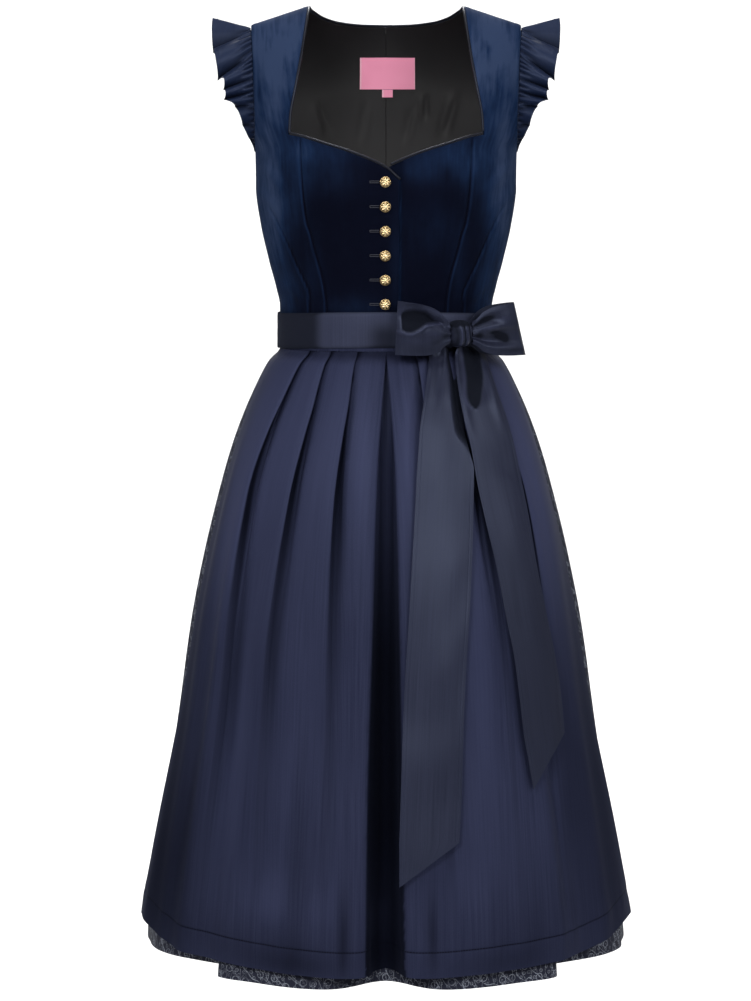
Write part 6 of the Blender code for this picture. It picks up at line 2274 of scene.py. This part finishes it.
def button_grid(centre, facing):
    """A domed button with a rosette in low relief inside a beaded rim, and its crevices."""
    side = unit(np.array([facing[1], -facing[0], 0.0]))
    up = np.cross(facing, side)
    dome = np.linspace(1.0, 0.0, BUTTON_RINGS)[1:]
    radius = np.concatenate([[0.0, 1.0, 1.0], dome])
    rise = np.concatenate([[0.0, 0.0, 0.22], 0.22 + 0.78 * np.sqrt(1 - dome**2)])
    turn = np.arange(BUTTON_SIDES) * 2 * math.pi / BUTTON_SIDES
    spokes = np.cos(turn)[:, None] * side + np.sin(turn)[:, None] * up
    rows = []
    crevices = []
    for k, (r, h) in enumerate(zip(radius, rise)):
        relief = button_relief(turn, r) if k > 2 else 0 * turn
        rows.append(centre + spokes * BUTTON_RADIUS * r + facing * (BUTTON_RISE * h + relief)[:, None])
        crevices.append(ease(-relief / 0.00034) + 0.7 * bump(r - 1.0, 0.06))
    return np.array(rows), np.array(crevices)


def front_point(x, z, lift):
    """A point on the front's face, a distance off it, and the direction out of it."""
    turn = turn_at(x, np.asarray(z, float))
    facing = torso_normals(turn, z, True)
    return torso(turn, z, True) + facing * lift, facing


def make_buttons():
    for i in range(BUTTON_COUNT):
        z = np.array(BUTTON_TOP_Z - BUTTON_PITCH * i)
        centre, facing = front_point(BUTTON_X, z, BUTTON_CLEARANCE)
        name = f"button_{i + 1}"
        grid, crevices = button_grid(centre, facing)
        piece = closed_ball(name + "_embossed", grid, "gold", crevices)
        place_piece(piece, "gold", name)
        make_buttonhole(i + 1, z)


def make_buttonhole(number, z):
    """Two close rows of thread along the hole, joined at its outer end."""
    half = BUTTONHOLE_LENGTH / 2
    reach = BUTTONHOLE_WIDTH / 2
    outline = [(half, reach), (-half, reach), (-half, -reach), (half, -reach)]
    path = [front_point(BUTTONHOLE_X + x, z + dz, THREAD_LIFT)[0] for x, dz in outline]
    path = resample(np.array(path), BUTTONHOLE_STEPS)
    piece = cord_mesh(f"buttonhole_{number}", path, THREAD_RADIUS, "buttonhole", sides=6)
    place_piece(piece, "buttonhole")


def label_grid(top_z, width, height, rows, columns):
    """Points of a flat woven piece on the back lining's inner face."""
    x = np.linspace(LABEL_X - width / 2, LABEL_X + width / 2, columns)[None, :] + np.zeros((rows, 1))
    z = np.linspace(top_z, top_z - height, rows)[:, None] + np.zeros((1, columns))
    turns = turn_at(np.abs(x), z)
    face = torso(turns, z, False)
    normals = torso_normals(turns, z, False)
    sign = np.where(x < 0, -1.0, 1.0)
    face[..., 0] *= sign
    normals[..., 0] *= sign
    ripple = 0.0003 * soft_noise(x / 0.014, z / 0.012, 71)
    return face - (LABEL_NEAR + ripple)[..., None] * normals


def to_axis(grid):
    return -from_axis(grid)


def make_label():
    held = ["back_lining_right_cloth", "back_lining_left_cloth"]
    grid = label_grid(LABEL_TOP_Z, LABEL_WIDTH, LABEL_HEIGHT, 24, 40)
    cloth("label", grid, SATIN_WALL, "label", "laid", held, outward=to_axis)
    tab_top = LABEL_TOP_Z - LABEL_HEIGHT - SEAM_GAP
    grid = label_grid(tab_top, TAB_WIDTH, TAB_HEIGHT, 10, 14)
    cloth("label_tab", grid, SATIN_WALL, "label", "laid", held, outward=to_axis, caught=TAB_CAUGHT)


# Camera, stage and light
def make_camera():
    data = bpy.data.cameras.new("camera")
    data.sensor_fit = "VERTICAL"
    data.sensor_height = 36.0
    data.lens = CAMERA_LENS
    data.clip_end = 100.0
    camera = new_object("camera", data)
    camera.location = CAMERA_PLACE
    camera.rotation_euler = (math.radians(90.0 - CAMERA_PITCH), 0.0, 0.0)
    bpy.context.scene.camera = camera


# The stage's section: distance from its middle, and height over the floor
STAGE_SECTION = np.array(
    [
        (0.0, 0.0),
        (4.0, 0.0),
        (8.0, 0.0),
        (9.0, 0.08),
        (9.7, 0.35),
        (10.1, 0.9),
        (10.4, 1.8),
        (10.5, 3.2),
        (10.5, 10.5),
    ]
)


def make_stage():
    """A pale floor that curves up into a backdrop all round."""
    radius, height = STAGE_SECTION.T[:, :, None]
    turn = np.linspace(0, 2 * math.pi, 65)[None, :]
    grid = np.stack([radius * np.cos(turn), radius * np.sin(turn), height + FLOOR_Z + 0 * turn], axis=-1)
    MATERIALS["stage"] = plain_stage()
    floor = quad_mesh("floor", grid, grid_quads(*grid.shape[:2]), ["stage"])


# Lamps: place, aim, size, watts
LAMPS = {
    "key": ((-1.4, -4.2, 1.5), (0.0, 0.0, -0.45), 1.4, 100.0),
    "fill": ((1.8, -4.0, 1.2), (0.0, 0.0, -0.45), 1.6, 65.0),
    "side_right": ((-3.4, -2.4, 1.6), (0.0, 0.0, -0.30), 1.6, 55.0),
    "side_left": ((3.4, -2.4, 1.6), (0.0, 0.0, -0.30), 1.6, 55.0),
    "top": ((0.0, -0.5, 2.6), (0.0, 0.0, -0.3), 1.4, 30.0),
    "back": ((0.0, 4.6, 2.4), (0.0, 0.0, -0.45), 1.2, 90.0),
    "backdrop_wall": ((0.0, 6.0, 3.6), (0.0, 10.4, -0.3), 1.6, 230.0),
    "backdrop_floor": ((0.0, 3.2, 3.4), (0.0, 4.8, -1.4), 1.6, 190.0),
}
WORLD_STRENGTH = 0.16


def make_lights():
    for name, (place, aim, size, watts) in LAMPS.items():
        data = bpy.data.lights.new(name, "AREA")
        data.shape = "DISK"
        data.size = size
        data.energy = watts
        lamp = new_object(name, data)
        lamp.location = place
        away = unit(np.array(place) - np.array(aim))
        lamp.rotation_euler = (math.acos(away[2]), 0.0, math.atan2(away[0], -away[1]))
    world = bpy.data.worlds.new("studio")
    world.use_nodes = True
    background = world.node_tree.nodes["Background"].inputs
    background["Color"].default_value = (1.0, 1.0, 1.0, 1.0)
    background["Strength"].default_value = WORLD_STRENGTH
    bpy.context.scene.world = world
    bpy.context.scene.view_settings.view_transform = "Standard"


make_camera()
make_bodice()
make_lining_seam()
make_piping()
make_ruffles()
make_skirt()
make_apron()
make_bands()
make_bow()
make_buttons()
make_label()
make_stage()
make_lights()
